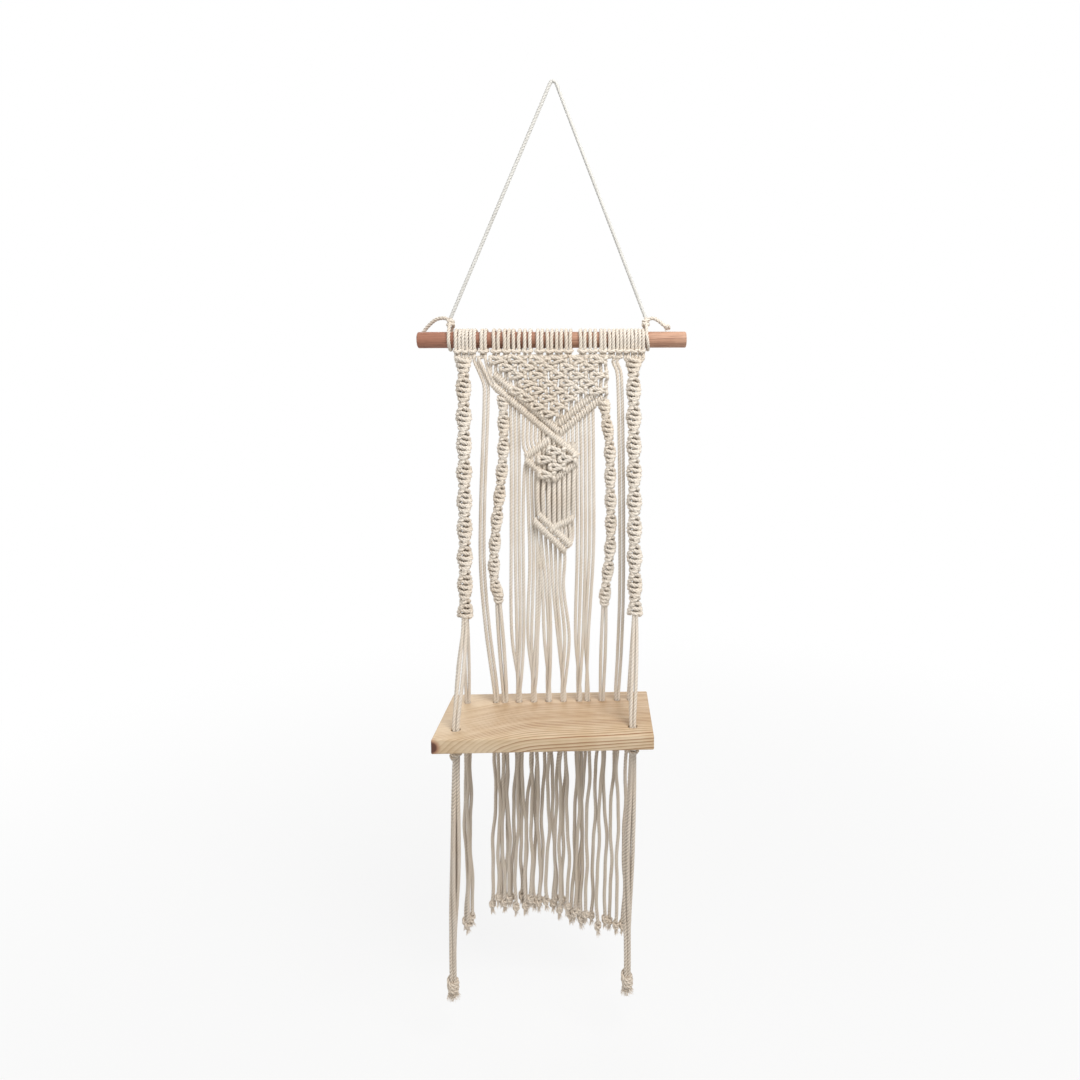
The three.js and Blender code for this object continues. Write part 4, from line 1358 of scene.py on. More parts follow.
@dataclass
class HitchBands:
    """The slanting bands of double half hitches."""

    shop: Workshop
    upper_left: BandLine = BandLine((-67.0, -321.0), (4.0, -385.0))
    long: BandLine = BandLine((-67.5, -333.5), (24.0, -412.5))
    right: BandLine = BandLine((46.5, -340.5), (3.0, -376.5))
    right_gap: float = -8.4
    right_run_on: float = 1.10
    wrap_radius: float = 2.72
    wrap_cord: float = 3.45
    shear: float = 0.34

    @property
    def right_lower(self) -> BandLine:
        """The second of the two right bands, which runs on to the long band.

        Returns:
            The band's line.
        """
        near, share = self.right.shifted(self.right_gap), self.right_run_on
        return BandLine(near.start, (near.start[0] + share * (near.end[0] - near.start[0]),
                                     near.start[1] + share * (near.end[1] - near.start[1])))

    def wraps(self, line: BandLine, hitches: int) -> list[CordRun]:
        """The turns of one band round its hidden holding cord.

        Args:
            line: the band's line.
            hitches: number of double half hitches.

        Returns:
            The band's cords.
        """
        start, end = (np.array([x, S.panel_y, z]) for x, z in (line.start, line.end))
        length = np.linalg.norm(end - start)
        along = (end - start) / length
        up = np.array([-along[2], 0, along[0]]) * (1 if along[0] > 0 else -1)
        front = np.array([0, -1.0, 0])
        runs = [self.shop.run([start - 1.5 * along, end + 1.5 * along], girth=0.8, spacing=3.0)]
        step = length / hitches
        pitch = step / 2.02
        for hitch in range(hitches):
            centre = start + along * step * (hitch + 0.5)
            radius = self.wrap_radius * (1 + 0.05 * sin(2.3 * hitch))
            points = [centre + up * 4.6 - along * pitch + front * 0.3]
            for turn in range(17):
                angle = 2 * pi * (turn / 8)
                reach = radius * (cos(angle) * up + sin(angle) * front)
                slide = pitch * (turn / 8 - 1.0) - self.shear * radius * cos(angle)
                points.append(centre + reach + along * slide)
            points.append(centre - up * 4.4 + along * pitch * 0.9 - front * 1.2)
            runs.append(self.shop.run(points, girth=self.wrap_cord / S.cord, spacing=0.9))
        return runs

    def links(self) -> list[CordRun]:
        """The short cords between the bands and those that gather into the long band.

        Returns:
            The cords.
        """
        y, made = S.panel_y, []
        for index in range(15):
            x = -66.0 + 4.6 * index
            made.append([(x, y + 1.2, self.upper_left.at(x)), (x + 0.6, y + 1.5, self.long.at(x + 0.6))])
        for index in range(6):
            x = 0.6 + 4.5 * index
            top = max(x, self.right_lower.end[0] + 0.5)
            made.append([(top, y, self.right_lower.at(top)), (x, y - 0.2, self.long.at(x))])
        start = np.array([self.long.start[0], y, self.long.start[1]])
        middle = np.array([-75.5, y - 0.9, -317.0])
        for knot, shift in (((-85.5, y - 0.6, -300.5), -2.1), ((-77.5, y + 0.3, -300.0), 2.1)):
            slide = np.array([0.78 * shift, 0.0, 0.62 * shift])
            made.append([knot, middle + slide, start + 0.8 * slide, start + (5.0, 0.6, -4.6)])
        return [self.shop.run(points) for points in made]

    def build(self) -> None:
        """Ties the four bands, with the short cords between them."""
        self.shop.piece("cord_upper_left_band", self.wraps(self.upper_left, 15), "panel", ["upper_left_band"])
        links = self.links()
        self.shop.piece("cord_long_band", self.wraps(self.long, 20) + links, "panel", ["long_band"])
        right = self.wraps(self.right, 8) + self.wraps(self.right_lower, 9)
        self.shop.piece("cord_right_bands", right, "panel", ["right_bands"])


@dataclass
class SquareKnotField:
    """Cords side by side that are tied in alternating square knots."""

    shop: Workshop
    left: float
    pitch: float
    count: int
    top: float
    row_height: float
    rows: int
    width: float = 8.9
    core: float = 3.5
    girth: float = 1.09
    core_gap: float = 2.6
    half_share: float = 0.455
    wander: float = 0.6
    rise: float = 0.7
    tilt: float = 0.13

    def x(self, index: int) -> float:
        """Place of a cord across the field."""
        return self.left + (index + 0.5) * self.pitch

    def paths(self, starts: list, ends: list, knotted: Callable[[int, int], bool]) -> list[CordRun]:
        """Each cord's path through the rows of knots.

        Args:
            starts: the points above the first row, for each cord.
            ends: the points below the last row, for each cord.
            knotted: tells from a row and a knot's first cord whether that knot is tied.

        Returns:
            The field's cords.
        """
        runs = []
        for index in range(self.count):
            points = list(starts[index])
            for row in range(self.rows):
                shift = 0 if row % 2 == 0 else 2
                first = (index - shift) // 4 * 4 + shift
                z = self.top - row * self.row_height
                if first < 0 or first + 4 > self.count or not knotted(row, first):
                    if z - 0.5 * self.row_height > ends[index][0][2]:
                        points.append((self.x(index), S.panel_y + 0.4, z - 0.5 * self.row_height))
                    continue
                points += self.knot(index - first, row, first, z - 0.04 * self.row_height)
            runs.append(self.shop.run(points + list(ends[index]), girth=self.girth, spacing=1.0))
        return runs

    def knot(self, place: int, row: int, first: int, top: float) -> list:
        """One cord's path through a flat square knot of four cords, each knot a little uneven.

        Args:
            place: the cord's number in the knot.
            row: the knot's row.
            first: number of the knot's first cord in the field.
            top: height of the knot's top.

        Returns:
            The path's points.
        """
        hand = np.random.default_rng(997 * row + 13 * first + int(abs(self.left)))
        across, down, tilt, wide, deep = hand.uniform(-1, 1, 5)
        height = self.half_share * self.row_height * (1 + 0.05 * down)
        centre = self.left + (first + 2) * self.pitch + self.wander * across
        top += self.rise * down
        width, core = self.width * (1 + 0.05 * wide), self.core * (1 + 0.08 * deep)
        if place in (1, 2):
            x = (place - 1.5) * 2 * self.core_gap
            shape = np.array([(x, 1.0, -share * height) for share in (0.35, 1.0, 1.65)])
        else:
            upper = half_knot(Form.LEAD if place == 0 else Form.RETURN, width, core, height, flat=True)
            shape = np.concatenate([upper[:-1], upper * (-1, 1, 1) + (0, 0, -height)])
        flat, steep = cos(self.tilt * tilt), sin(self.tilt * tilt)
        return [(centre + x * flat - (z + height) * steep, S.panel_y + y, top + z + x * steep)
                for x, y, z in shape]


@dataclass
class KnottedPanel:
    """The field of alternating square knots between the dowel and the two sloping bands."""

    shop: Workshop
    bands: HitchBands
    left: float = -74.0
    pitch: float = 5.54
    count: int = 24
    rows: int = 10
    row_height: float = 8.5
    right_foot: float = -350.0

    def floor(self, x: float) -> float:
        """Height of what ends the field at a place across: a band, or the right inner chain.

        Args:
            x: the place across.

        Returns:
            The height.
        """
        if x > self.bands.right.start[0]:
            return self.right_foot
        if x <= self.bands.right.end[0]:
            return self.bands.upper_left.edge(max(x, self.bands.upper_left.start[0]), True)
        return self.bands.right.edge(max(x, self.bands.right.end[0]), True)

    def build(self, feet: list[float]) -> None:
        """Ties the field.

        Args:
            feet: the places of its strands under the row of lark's heads.
        """
        y, top = S.panel_y, S.work_top - 1.5
        knots = SquareKnotField(self.shop, self.left, self.pitch, self.count, top, self.row_height, self.rows)
        starts, ends = [[(foot, y, S.work_top - 1.0)] for foot in feet], []
        for x in map(knots.x, range(self.count)):
            end = self.floor(x)
            if x > self.bands.right.start[0]:
                chain = 53.0 + 0.3 * (x - 53.0)
                ends.append([(x, y, end + 5.0), (0.5 * (x + chain), y, end - 1.0), (chain, y, end - 9.0)])
            else:
                ends.append([(x, y, end + 0.5), (x, y + 0.6, end - 5.0)])

        def knotted(row: int, first: int) -> bool:
            """Tells whether a knot's middle has room above the bands.

            Args:
                row: the knot's row.
                first: number of its first cord.

            Returns:
                True where it has.
            """
            low = top - (row + 0.9) * self.row_height
            middle = 0.5 * (knots.x(first + 1) + knots.x(first + 2))
            return self.floor(middle) < low + 5.0

        runs = knots.paths(starts, ends, knotted)
        self.shop.piece("cord_knotted_panel", runs, "panel", ["knotted_panel"])


@dataclass
class InnerSinnets:
    """The two inner chains that leave the bands and end in a knot above their holes."""

    shop: Workshop
    bands: HitchBands
    width: float = 4.5
    core: float = 3.1
    knot_height: float = 4.9
    pitch: float = 54.0
    core_girth: float = 0.95
    left_route: tuple = ((-58.5, -400), (-62.5, -445), (-68, -489), (-71.5, -534), (-71, -555), (-67, -571))
    right_route: tuple = ((53.5, -350.5), (56.5, -372), (60, -400), (60.5, -445), (60.3, -512), (53.2, -576))

    def build(self) -> None:
        """Ties both chains with the cords that leave them."""
        left_top = (-58, self.bands.long.edge(-58.0, False) + 2)
        for side, route, hole in (("left", (left_top, *self.left_route), S.rear_holes[2]),
                                  ("right", self.right_route, S.rear_holes[9])):
            line = smoothed([(x, S.depth_at(z), z) for x, z in route], 6.0)
            Sinnet(self.shop, f"cord_{side}_inner_sinnet", line, self.width, self.core, self.knot_height,
                   self.pitch, self.core_girth, [f"{side}_inner_sinnet"], reaches_board=True
                   ).build(self.cords(line[-1], hole))

    def cords(self, foot: np.ndarray, hole: float) -> list[CordRun]:
        """The knot under a chain and the cords that go on to the hole.

        Args:
            foot: the chain's foot.
            hole: place of the hole across.

        Returns:
            The cords.
        """
        turns = wrapped_knot(foot + (0, 0, -2.0), radius=3.9, turns=2.0, rise=3.9, start=0.4, slant=0.4,
                             lead=2.0)
        runs = [self.shop.run(turns, spacing=0.95)]
        middle = 0.5 * (foot + (hole, 0, S.board_top))
        for across, through in FOUR:
            dx, dy = 1.7 * across, 1.5 * through
            runs.append(self.shop.run([
                foot + (0.6 * dx, 0.6 * dy, 4.0), foot + (dx, dy, -8.0), middle + (1.5 * dx, 1.2 * dy, 0.0),
                (hole + dx, dy, S.board_top + 6), (hole + 0.8 * dx, 0.8 * dy, S.board_top - 4)]))
        return runs


@dataclass
class StraightPairs:
    """The two pairs of plain cords between the chains."""

    shop: Workshop
    apart: float = 4.3
    left_route: tuple = ((-87.0, -305.5), (-82.0, -318.0), (-77.0, -332.0), (-76.8, -348.0), (-78.8, -388.0),
                         (-83, -467), (-84.5, -540), (-80, -610))
    right_route: tuple = ((66.5, -306.0), (70.6, -318.0), (72.0, -340.0), (72.9, -560), (70, -640))

    def build(self, feet: list[float]) -> None:
        """Hangs both pairs.

        Args:
            feet: the places of the row's strands.
        """
        for side, starts, route, hole in (("left", feet[5:7], self.left_route, S.rear_holes[1]),
                                          ("right", feet[32:34], self.right_route, S.rear_holes[10])):
            runs = []
            for index, start in enumerate(starts):
                shift = (index - 0.5) * self.apart
                points = [(start, S.panel_y, S.work_top - 1.5)]
                points += [(x + shift, S.depth_at(z) + 0.7, z) for x, z in route]
                points += [(hole + 0.8 * shift, 0, S.board_top + 8), (hole + 0.5 * shift, 0, S.board_top - 4)]
                runs.append(self.shop.run(points))
            hold_to_board(self.shop.piece(f"cord_{side}_pair", runs, None, [f"{side}_straight_pair"]))


@dataclass
class LeafMotif:
    """The diamond of square knots below the long band, with short bands round it and two more bands below."""

    shop: Workshop
    bands: HitchBands
    upper: BandLine = BandLine((-8.0, -394.5), (-33.5, -412.5))
    left_foot: BandLine = BandLine((-33.5, -415.5), (-6.0, -440.0))
    right_foot: BandLine = BandLine((23.5, -419.0), (-3.0, -438.5))
    second: BandLine = BandLine((18.5, -482.0), (-8.0, -495.5))
    lower: BandLine = BandLine((-18.5, -478.5), (15.5, -512.5))
    left: float = -21.4
    pitch: float = 5.6
    count: int = 8
    top: float = -393.6
    row_height: float = 8.6
    rows: int = 5
    width: float = 8.8
    core: float = 3.7
    girth: float = 1.27
    tied: frozenset = frozenset({(1, 2), (2, 0), (2, 4), (3, 2), (4, 0)})

    @property
    def foot(self) -> BandLine:
        """The last of the motif's bands."""
        return self.lower.shifted(-8.6)

    def lead_cords(self) -> list[CordRun]:
        """The curved cords that leave the long band and run into the motif's upper band.

        Returns:
            The cords.
        """
        y, runs = S.panel_y, []
        for index in range(6):
            x, far = -35.5 + 4.5 * index, -31.5 + 4.0 * index
            top, low = self.bands.long.edge(x, False), self.upper.at(far)
            drop = top - low
            runs.append(self.shop.run([
                (x, y, top + 4), (x - 0.5, y - 0.2, top - 0.25 * drop), (x - 0.9, y - 0.4, top - 0.55 * drop),
                (x + 0.2, y - 0.5, top - 0.82 * drop), (far, y, low + 0.5), (far + 1.5, y + 1.0, low - 5.0)]))
        return runs

    def knots(self) -> list[CordRun]:
        """The square knots inside the diamond, with their cords above and below.

        Returns:
            The cords.
        """
        y = S.panel_y
        knots = SquareKnotField(self.shop, self.left, self.pitch, self.count, self.top, self.row_height,
                                self.rows, self.width, self.core, self.girth)
        starts, ends = [], []
        for index, x in enumerate(map(knots.x, range(self.count))):
            above = self.upper if x < self.upper.start[0] else self.bands.long
            starts.append([(x, y, above.edge(x, False) + 2.5)])
            below = self.left_foot if x < -4.5 else self.right_foot
            low = below.edge(min(x, 22.0), True)
            far = x - 1.0 if x < 10 else x - 2.0
            if far > self.second.end[0]:
                under = self.second.at(far)
            else:
                under = self.lower.at(max(far, self.lower.start[0]))
            bowed = 0.5 * (x + far) - 0.6 * max(0, 3 - index)
            ends.append([(x, y, low - 1.0), (x - 0.4, y + 1.4, low - 9.0),
                         (bowed, y - 1.5, 0.5 * (low + under)), (far, y, under)])
        return knots.paths(starts, ends, lambda row, first: (row, first) in self.tied)

    def side_cords(self) -> list[CordRun]:
        """The short cords between two bands, at the diamond's left corner and below the second motif.

        Returns:
            The cords.
        """
        y, runs = S.panel_y, []
        for index in range(4):
            x, far = -31.0 + 4.3 * index, -31.0 + 4.3 * index + 0.4
            runs.append(self.shop.run([(x, y, self.upper.at(x)), (far, y + 0.8, self.left_foot.at(far))]))
        for index in range(5):
            x = -5.0 + 4.6 * index
            far = min(x + 1.5, self.lower.end[0])
            top, low = self.second.at(x), self.lower.at(far)
            middle = (x + 1.8, y - 0.2, 0.6 * top + 0.4 * low)
            runs.append(self.shop.run([(x, y, top), middle, (far, y, low)]))
        return runs

    def rear_cords(self) -> list[CordRun]:
        """The cords that pass behind the square knots, from the long band to the lower band.

        Returns:
            The cords.
        """
        y, runs = S.panel_y, []
        for index in range(self.count - 1):
            x = self.left + (index + 1) * self.pitch
            far = min(max(x, self.lower.start[0]), self.lower.end[0])
            top, low = self.bands.long.edge(x, False) + 2.5, self.lower.at(far)
            runs.append(self.shop.run([
                (x, y + 2.0, top), (x, y + 5.0, top - 9.0), (x - 0.6, y + 5.2, 0.5 * (top + low)),
                (x, y + 4.6, low + 9.0), (far, y + 1.5, low)]))
        return runs

    def build(self) -> None:
        """Ties the motif: lead cords, its bands, the square knots and the cords between."""
        runs = self.lead_cords() + self.knots() + self.side_cords() + self.rear_cords()
        for line, hitches in ((self.upper, 5), (self.left_foot, 6), (self.right_foot, 5), (self.second, 5),
                              (self.lower, 8), (self.foot, 8)):
            runs += self.bands.wraps(line, hitches)
        self.shop.piece("cord_leaf", runs, "panel", ["leaf"])


@dataclass
class PanelCords:
    """The bundles of plain cords that fall from the bands and the leaf to the rear holes."""

    shop: Workshop
    bands: HitchBands
    leaf: LeafMotif
    left_tops: tuple = (-49.8, -45.4, -41.0)
    corner_tops: tuple = (-31.2, -26.9, -22.6, -18.3)
    right_tops: tuple = (23.2, 27.8, 32.4, 37.0, 41.6)
    foot_ring: float = 1.7
    gather_z: float = -620.0

    def tops(self) -> list[list]:
        """Each bundle's starting places and the points that lead its cords on.

        Returns:
            For each bundle, a list of points across and up for each cord.
        """
        long, lower = self.bands.long, self.bands.right_lower
        foot, corner = self.leaf.foot, self.leaf.left_foot
        first = [[(x, long.edge(x, False) + 4), (x - 0.3, -420.0), (x - 1.6, -500.0)] for x in self.left_tops]
        first += [[(-32.0, -413.0), (-35.0, -424.0), (-36.8, -450.0), (-38.0, -490.0)]]
        beside = [[(x, corner.edge(x, False) + 4), (x - 0.8, corner.edge(x, False) - 9), (x - 0.5, -480.0),
                   (x + 0.2, -530.0)] for x in self.corner_tops]
        spread = [[(x, foot.edge(x, False) + 4), (x + 0.2, foot.edge(x, False) - 7), (0.75 * x + 0.5, -560.0)]
                  for x in np.linspace(foot.start[0] + 1.0, foot.end[0] - 1.0, 7)]
        right = []
        for x in self.right_tops:
            top = min(x, lower.start[0] - 1.5)
            right.append([(top, lower.edge(top, False) + 4), (x + 0.3, -430.0), (x - 0.5, -520.0)])
        return [first, beside, spread[:3], spread[3:], right[:3], right[3:]]

    def build(self) -> None:
        """Hangs the six bundles."""
        for number, (tops, hole) in enumerate(zip(self.tops(), S.rear_holes[3:9]), 1):
            count, runs = len(tops), []
            for index, top in enumerate(tops):
                angle = 2 * pi * (index + 0.25) / count
                x, y = hole + self.foot_ring * cos(angle), self.foot_ring * sin(angle)
                shift = (index - (count - 1) / 2) * 3.6
                points = [(across, S.depth_at(z), z) for across, z in top]
                loose = self.shop.draw(-1.2, 1.2)
                points += [(hole + 1.15 * shift + loose, S.depth_at(self.gather_z), self.gather_z),
                           (x + 0.5 * shift, y * 1.2 - 1.0, S.board_top + 30), (x, y, S.board_top + 8),
                           (x, y, S.board_top - 4)]
                runs.append(self.shop.run(points))
            name = f"panel_cords_{number}"
            hold_to_board(self.shop.piece(f"cord_{name}", runs, None, [name]))


@dataclass
class Board:
    """The pine board with its drilled holes, and the knots that carry it."""

    shop: Workshop
    edge_round: float = 1.4
    hole_sides: int = 32
    hole_soften: float = 0.6
    drill_over: float = 2.0

    def build(self) -> None:
        """Saws, drills and dresses the board, then ties the stopper knots."""
        mesh = bmesh.new()
        bmesh.ops.create_cube(mesh, size=1.0)
        for vert in mesh.verts:
            vert.co.x = (S.board_left if vert.co.x < 0 else S.board_right) * MM
            vert.co.y = (S.board_front if vert.co.y < 0 else S.board_rear) * MM
            vert.co.z = (S.board_bottom if vert.co.z < 0 else S.board_top) * MM
        bmesh.ops.bevel(mesh, geom=mesh.edges[:], offset=self.edge_round * MM, segments=4, profile=0.5,
                        affect="EDGES", clamp_overlap=True)
        board = as_piece("pine_board", mesh, self.shop.finishes.pine)
        drills = [self.drill(x, 0.0, S.rear_hole / 2) for x in S.rear_holes]
        drills += [self.drill(x, S.front_hole_y, S.front_hole / 2) for x in (S.hole_left, S.hole_right)]
        tool = joined("drills", drills)
        modifier = board.modifiers.new("holes", "BOOLEAN")
        modifier.object, modifier.operation, modifier.solver = tool, "DIFFERENCE", "EXACT"
        graph = bpy.context.evaluated_depsgraph_get()
        drilled = bpy.data.meshes.new_from_object(board.evaluated_get(graph), depsgraph=graph)
        board.modifiers.clear()
        board.data = drilled
        smooth_faces(drilled, 32)
        bpy.data.objects.remove(tool)
        settle(board, "board", "pine", "board")
        self.stoppers()

    def drill(self, x: float, y: float, radius: float) -> Object:
        """A drill that softens both rims of its hole.

        Args:
            x: the hole's place along the board.
            y: its place across the board.
            radius: its radius.

        Returns:
            The drill.
        """
        soft, over = self.hole_soften, self.drill_over
        wide = radius + soft + over
        mesh, rings = bmesh.new(), []
        for reach, z in ((wide, S.board_top + over), (radius, S.board_top - soft),
                         (radius, S.board_bottom + soft), (wide, S.board_bottom - over)):
            rings.append([])
            for side in range(self.hole_sides):
                turn = 2 * pi * side / self.hole_sides
                rings[-1].append(mesh.verts.new(((x + reach * cos(turn)) * MM,
                                                 (y + reach * sin(turn)) * MM, z * MM)))
        close_rings(mesh, rings)
        return as_piece("drill", mesh, self.shop.finishes.pine)

    def stoppers(self) -> None:
        """Ties the knot under each hole, with the cords squeezed together inside it."""
        for index, x in enumerate(S.rear_holes):
            self.stopper(f"rear_stopper_{index + 1:02d}", x, 0.0, 3.7, 4.0, index)
        for side, x, seed in (("left", S.hole_left, 3), ("right", S.hole_right, 8)):
            self.stopper(f"front_stopper_{side}", x, S.front_hole_y, 5.3, 5.0, seed)

    def stopper(self, name: str, x: float, y: float, radius: float, rise: float, seed: int) -> None:
        """Ties one stopper knot.

        Args:
            name: its node's name.
            x: the hole's place along the board.
            y: its place across the board.
            radius: radius of the knot's turns.
            rise: height of one turn.
            seed: a number that turns the knot.
        """
        centre = np.array([x, y, S.board_bottom - 1.4 * rise - 0.4])
        turns = wrapped_knot(centre, radius * 0.98, turns=2.25, rise=rise * 0.92, start=0.9 * seed,
                             slant=0.42, lead=0.5)
        inside = [(x, y, S.board_top - 3.5), (x, y, S.board_bottom - 2.9 * rise)]
        runs = [self.shop.run(turns, spacing=0.95), self.shop.run(inside, girth=1.35, spacing=2.5)]
        self.shop.piece(f"cord_{name}", runs, "board", [name])


@dataclass
class Fringe:
    """The free cord ends under the board: twelve bundles and two front tassels, all ending in knots."""

    shop: Workshop
    strands: tuple = (3, 2, 4, 4, 4, 3, 4, 3, 2, 3, 2, 2)
    drop: float = 232.0
    spread: float = 7.4
    close: float = 3.4
    uneven_share: float = 0.022
    lean: float = -7.5
    girth: float = 1.12
    wave_sizes: tuple = (0.40, 0.34, 0.12)
    wave_counts: tuple = (5.2, 13.5, 29)
    tassel_drop: float = 262.0
    tassel_cord: float = 8.0
    tassel_tips: tuple = (0.6, 1.6, 2.7, 3.8, 4.9, 5.9)

    def build(self) -> None:
        """Hangs every bundle and both tassels."""
        holes = S.rear_holes
        for bundle, count in enumerate(self.strands):
            before = holes[bundle] - holes[bundle - 1] if bundle else 99.0
            after = holes[bundle + 1] - holes[bundle] if bundle + 1 < len(holes) else 99.0
            self.bundle(bundle, holes[bundle], count, min(before, after) - 0.3)
        for side, x in (("left", S.hole_left), ("right", S.hole_right)):
            self.tassel(side, x)

    def strand(self, bundle: int, index: int, x: float, count: int, room: float) -> np.ndarray:
        """One cord's centre line, in loose waves from its knot to its end.

        Args:
            bundle: the bundle's number.
            index: the cord's number in it.
            x: place of the bundle's hole.
            count: number of the bundle's cords.
            room: distance to the nearest bundle.

        Returns:
            The line's points.
        """
        share = 2 * index / (count - 1) - 1
        reach = min(room / 2 - 0.6, self.spread if count > 2 and bundle else self.close)
        through = (1 if index % 2 == 0 else -1) * 1.9
        longer = 0.006 + 0.062 * tanh((x - 20) / 20) if bundle else 0.045
        length = self.drop * (0.995 + longer + self.uneven_share * sin(bundle * 1.9 + index * 2.6))
        top, end = S.board_bottom - 11.6, S.board_bottom - length
        stations = np.linspace(0, 1, 25)
        phases = [self.shop.draw(0, 2 * pi) for _ in range(3)]
        hold = np.clip(stations * 5, 0, 1)
        size = min(reach, 3.0)
        x_line = x + share * (1.6 + (reach - 1.6) * np.sin(np.clip(stations * 2.2, 0, pi / 2)))
        x_line = x_line + 0.7 * self.lean * stations * (1 + 0.4 * tanh(x / 40))
        waves = sum(reach * np.sin(turns * stations + phase)
                    for reach, turns, phase in zip(self.wave_sizes, self.wave_counts, phases))
        x_line = x_line + hold * size * waves
        y_line = through + hold * 1.3 * np.sin(7.3 * stations + phases[2])
        return np.stack([x_line, y_line, top + (end - top) * stations], axis=1)

    def bundle(self, number: int, x: float, count: int, room: float) -> None:
        """Hangs one bundle, whose end knots and frayed tips are one piece.

        Args:
            number: its number.
            x: place of its hole.
            count: number of its cords.
            room: distance to the nearest bundle.
        """
        name = f"rear_fringe_{number + 1:02d}"
        lines = [smoothed(self.strand(number, index, x, count, room), 1.15) for index in range(count)]
        knots, tips = [], []
        for line in lines:
            foot = line[-1] + (0, 0, -3.8)
            turns = wrapped_knot(foot, radius=2.35, turns=1.7, rise=3.2, start=self.shop.draw(0, 6), lead=2.2)
            knots.append(self.shop.run(turns, spacing=0.9))
            tips.append(foot + (0, 0, -4.4))
        ends = self.shop.ends(f"cord_{name}_ends", knots, tips, "rear_fringe", seed=number, length=8.5)
        for index, line in enumerate(lines):
            run = CordRun(line, self.girth, self.shop.draw(0, 6))
            piece = self.shop.piece(f"cord_{name}_{index + 1}", [run], "rear_fringe", [name])

    def tassel(self, side: str, x: float) -> None:
        """Hangs one front tassel of four cords that end together in a frayed knot.

        Args:
            side: left or right.
            x: place of its hole.
        """
        name = f"front_tassel_{side}"
        top, end = S.board_bottom - 13.6, S.board_bottom - self.tassel_drop
        stations = np.linspace(0, 1, 15)
        sway = 1.2 * np.sin(4.4 * stations + (0.4 if side == "left" else 2.0)) * np.sin(pi * stations)
        core = np.stack([x + self.lean * stations + sway, np.full(15, S.front_hole_y) - 0.5 * sway,
                         top + (end - top) * stations], axis=1)
        reach = 2.2 + 1.7 * np.sin(pi * np.clip(1.25 * stations, 0, 1))
        runs = []
        for index in range(4):
            turn = pi / 4 + pi / 2 * index + 1.6 * stations + 0.35 * np.sin(6 * stations + index)
            line = core + np.stack([reach * np.cos(turn), 0.8 * reach * np.sin(turn), 0 * turn], axis=1)
            runs.append(self.shop.run(line, girth=self.girth))
        piece = self.shop.piece(f"cord_{name}", runs, "front_tassels", [name])
        centre = np.array([x + self.lean, S.front_hole_y, end])
        knots = []
        for start, shift in ((1.2, (0, 0, 0.8)), (2.2, (0.6, -0.5, -2.6))):
            turns = wrapped_knot(centre + shift, radius=4.5, turns=2.1, rise=4.2, start=start, slant=0.4,
                                 lead=1.5)
            knots.append(self.shop.run(turns, spacing=0.95))
        tips = [centre + (3.2 * cos(turn), 2.4 * sin(turn), -6.0) for turn in self.tassel_tips]
        ends = self.shop.ends(f"cord_{name}_ends", knots, tips, "front_tassels", seed=31, length=13.0)


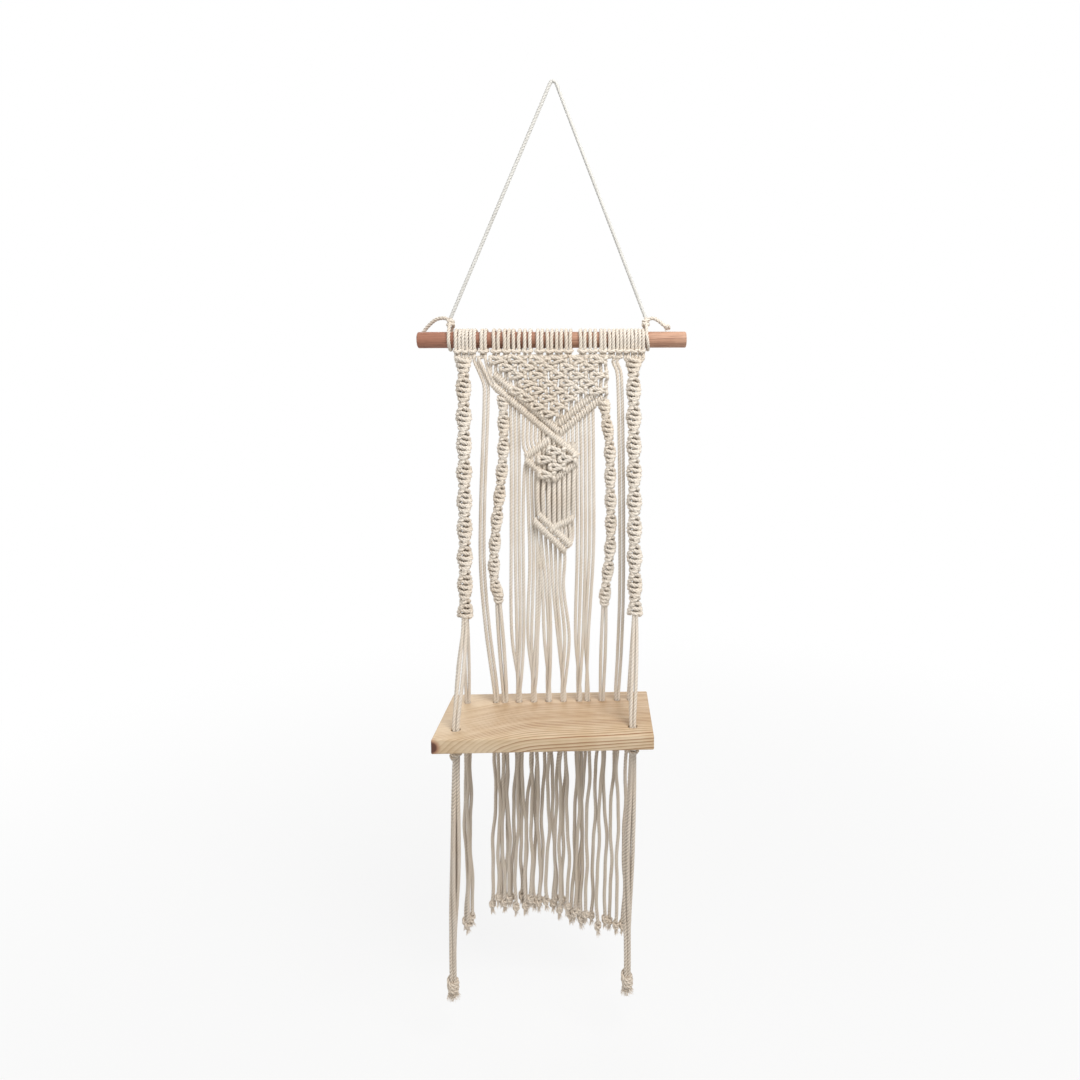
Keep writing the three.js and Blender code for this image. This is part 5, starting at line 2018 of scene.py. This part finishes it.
@dataclass
class Studio:
    """Camera, lights, floor and background."""

    place: tuple = (48.5, -850.0, -351.1)
    yaw: float = 2.0
    pitch: float = -2.96
    roll: float = 0.25
    sensor: float = 36.0
    focal_share: float = 750.7 / 1080
    shift: tuple = (-85.3 / 1080, -100.0 / 1080)
    floor_z: float = -1045.0
    floor_radius: float = 6.0
    floor_colour: tuple = (0.66, 0.66, 0.655, 1)
    world_light: float = 0.49
    lamps: tuple = (
        ("key", (0.62, -0.85, 0.6), (0, 0, -0.35), 0.9, 19.5, (1.0, 0.99, 0.975)),
        ("fill", (-1.5, -1.1, 0.2), (0, 0, -0.4), 1.4, 7.0, (0.97, 0.985, 1.0)),
        ("back", (-0.5, 1.6, 0.3), (0, 0, -0.4), 1.4, 13.0, (1.0, 1.0, 1.0)),
    )

    def camera(self) -> None:
        """Places the camera where the photograph was taken from."""
        data = bpy.data.cameras.new("camera")
        data.sensor_width, data.lens = self.sensor, self.sensor * self.focal_share
        data.shift_x, data.shift_y = self.shift
        data.clip_start, data.clip_end = 0.05, 30.0
        camera = new_object("camera", data)
        camera.location = tuple(value * MM for value in self.place)
        camera.rotation_euler = tuple(map(radians, (90 + self.pitch, self.roll, -self.yaw)))
        bpy.context.scene.camera = camera

    def light(self, name: str, place: tuple, aim: tuple, size: float, power: float, tint: tuple) -> None:
        """Adds a soft square lamp.

        Args:
            name: the lamp's name.
            place: where it stands, in metres.
            aim: what it looks at, in metres.
            size: its side in metres.
            power: its power in watts.
            tint: its colour.
        """
        data = bpy.data.lights.new(name, "AREA")
        data.shape, data.size, data.energy, data.color = "SQUARE", size, power, tint
        lamp = new_object(name, data)
        lamp.location = place
        lamp.rotation_euler = Vector(np.array(aim) - np.array(place)).to_track_quat("-Z", "Y").to_euler()

    def build(self) -> None:
        """Sets the lights, the pale floor and the white background."""
        for lamp in self.lamps:
            self.light(*lamp)
        world = bpy.data.worlds.new("studio")
        world.use_nodes = True
        bpy.context.scene.world = world
        m = TreeMaker(world.node_tree)
        ground = world.node_tree.nodes["Background"]
        ground.inputs["Color"].default_value = (1, 1, 1, 1)
        m.feed(ground.inputs["Strength"], m.remap(m.seen(), 0.0, 1.0, self.world_light, 1.0))
        self.floor()
        bpy.context.scene.view_settings.view_transform = "Standard"

    def floor(self) -> None:
        """Lays a wide pale floor that keeps the shelf's shadow."""
        mesh = bmesh.new()
        bmesh.ops.create_circle(mesh, cap_ends=True, segments=64, radius=self.floor_radius)
        for vert in mesh.verts:
            vert.co.z = self.floor_z * MM
        material, m, shader = new_material("pale_floor")
        shader.inputs["Base Color"].default_value = self.floor_colour
        shader.inputs["Roughness"].default_value = 0.9
        away = m.vector_math("LENGTH", m.vector_math("MULTIPLY", m.place(), (1, 1, 0)))
        glow = m.out("ShaderNodeEmission", {"Color": (1, 1, 1, 1), "Strength": 1.0})
        share = m.times(m.seen(), m.remap(away, 0.25, 1.5, 0.82, 1.0))
        both = m.out("ShaderNodeMixShader", {0: share, 1: shader.outputs[0], 2: glow})
        m.feed(material.node_tree.nodes["Material Output"].inputs["Surface"], both)
        as_piece("floor", mesh, material)


def main() -> None:
    """Builds the shelf from the camera and the free cords to the studio."""
    logging.basicConfig(level=logging.INFO, format="%(name)s %(message)s")
    studio = Studio()
    studio.camera()
    shop = Workshop(Finishes())
    Hanger(shop).build()
    Fringe(shop).build()
    row = HitchRow(shop)
    row.build()
    feet = row.strands()
    bands = HitchBands(shop)
    SideSinnets(shop).build(feet)
    InnerSinnets(shop, bands).build()
    StraightPairs(shop).build(feet)
    KnottedPanel(shop, bands).build(feet[8:32])
    bands.build()
    leaf = LeafMotif(shop, bands)
    leaf.build()
    PanelCords(shop, bands, leaf).build()
    Board(shop).build()
    studio.build()


if __name__ == "__main__":
    main()
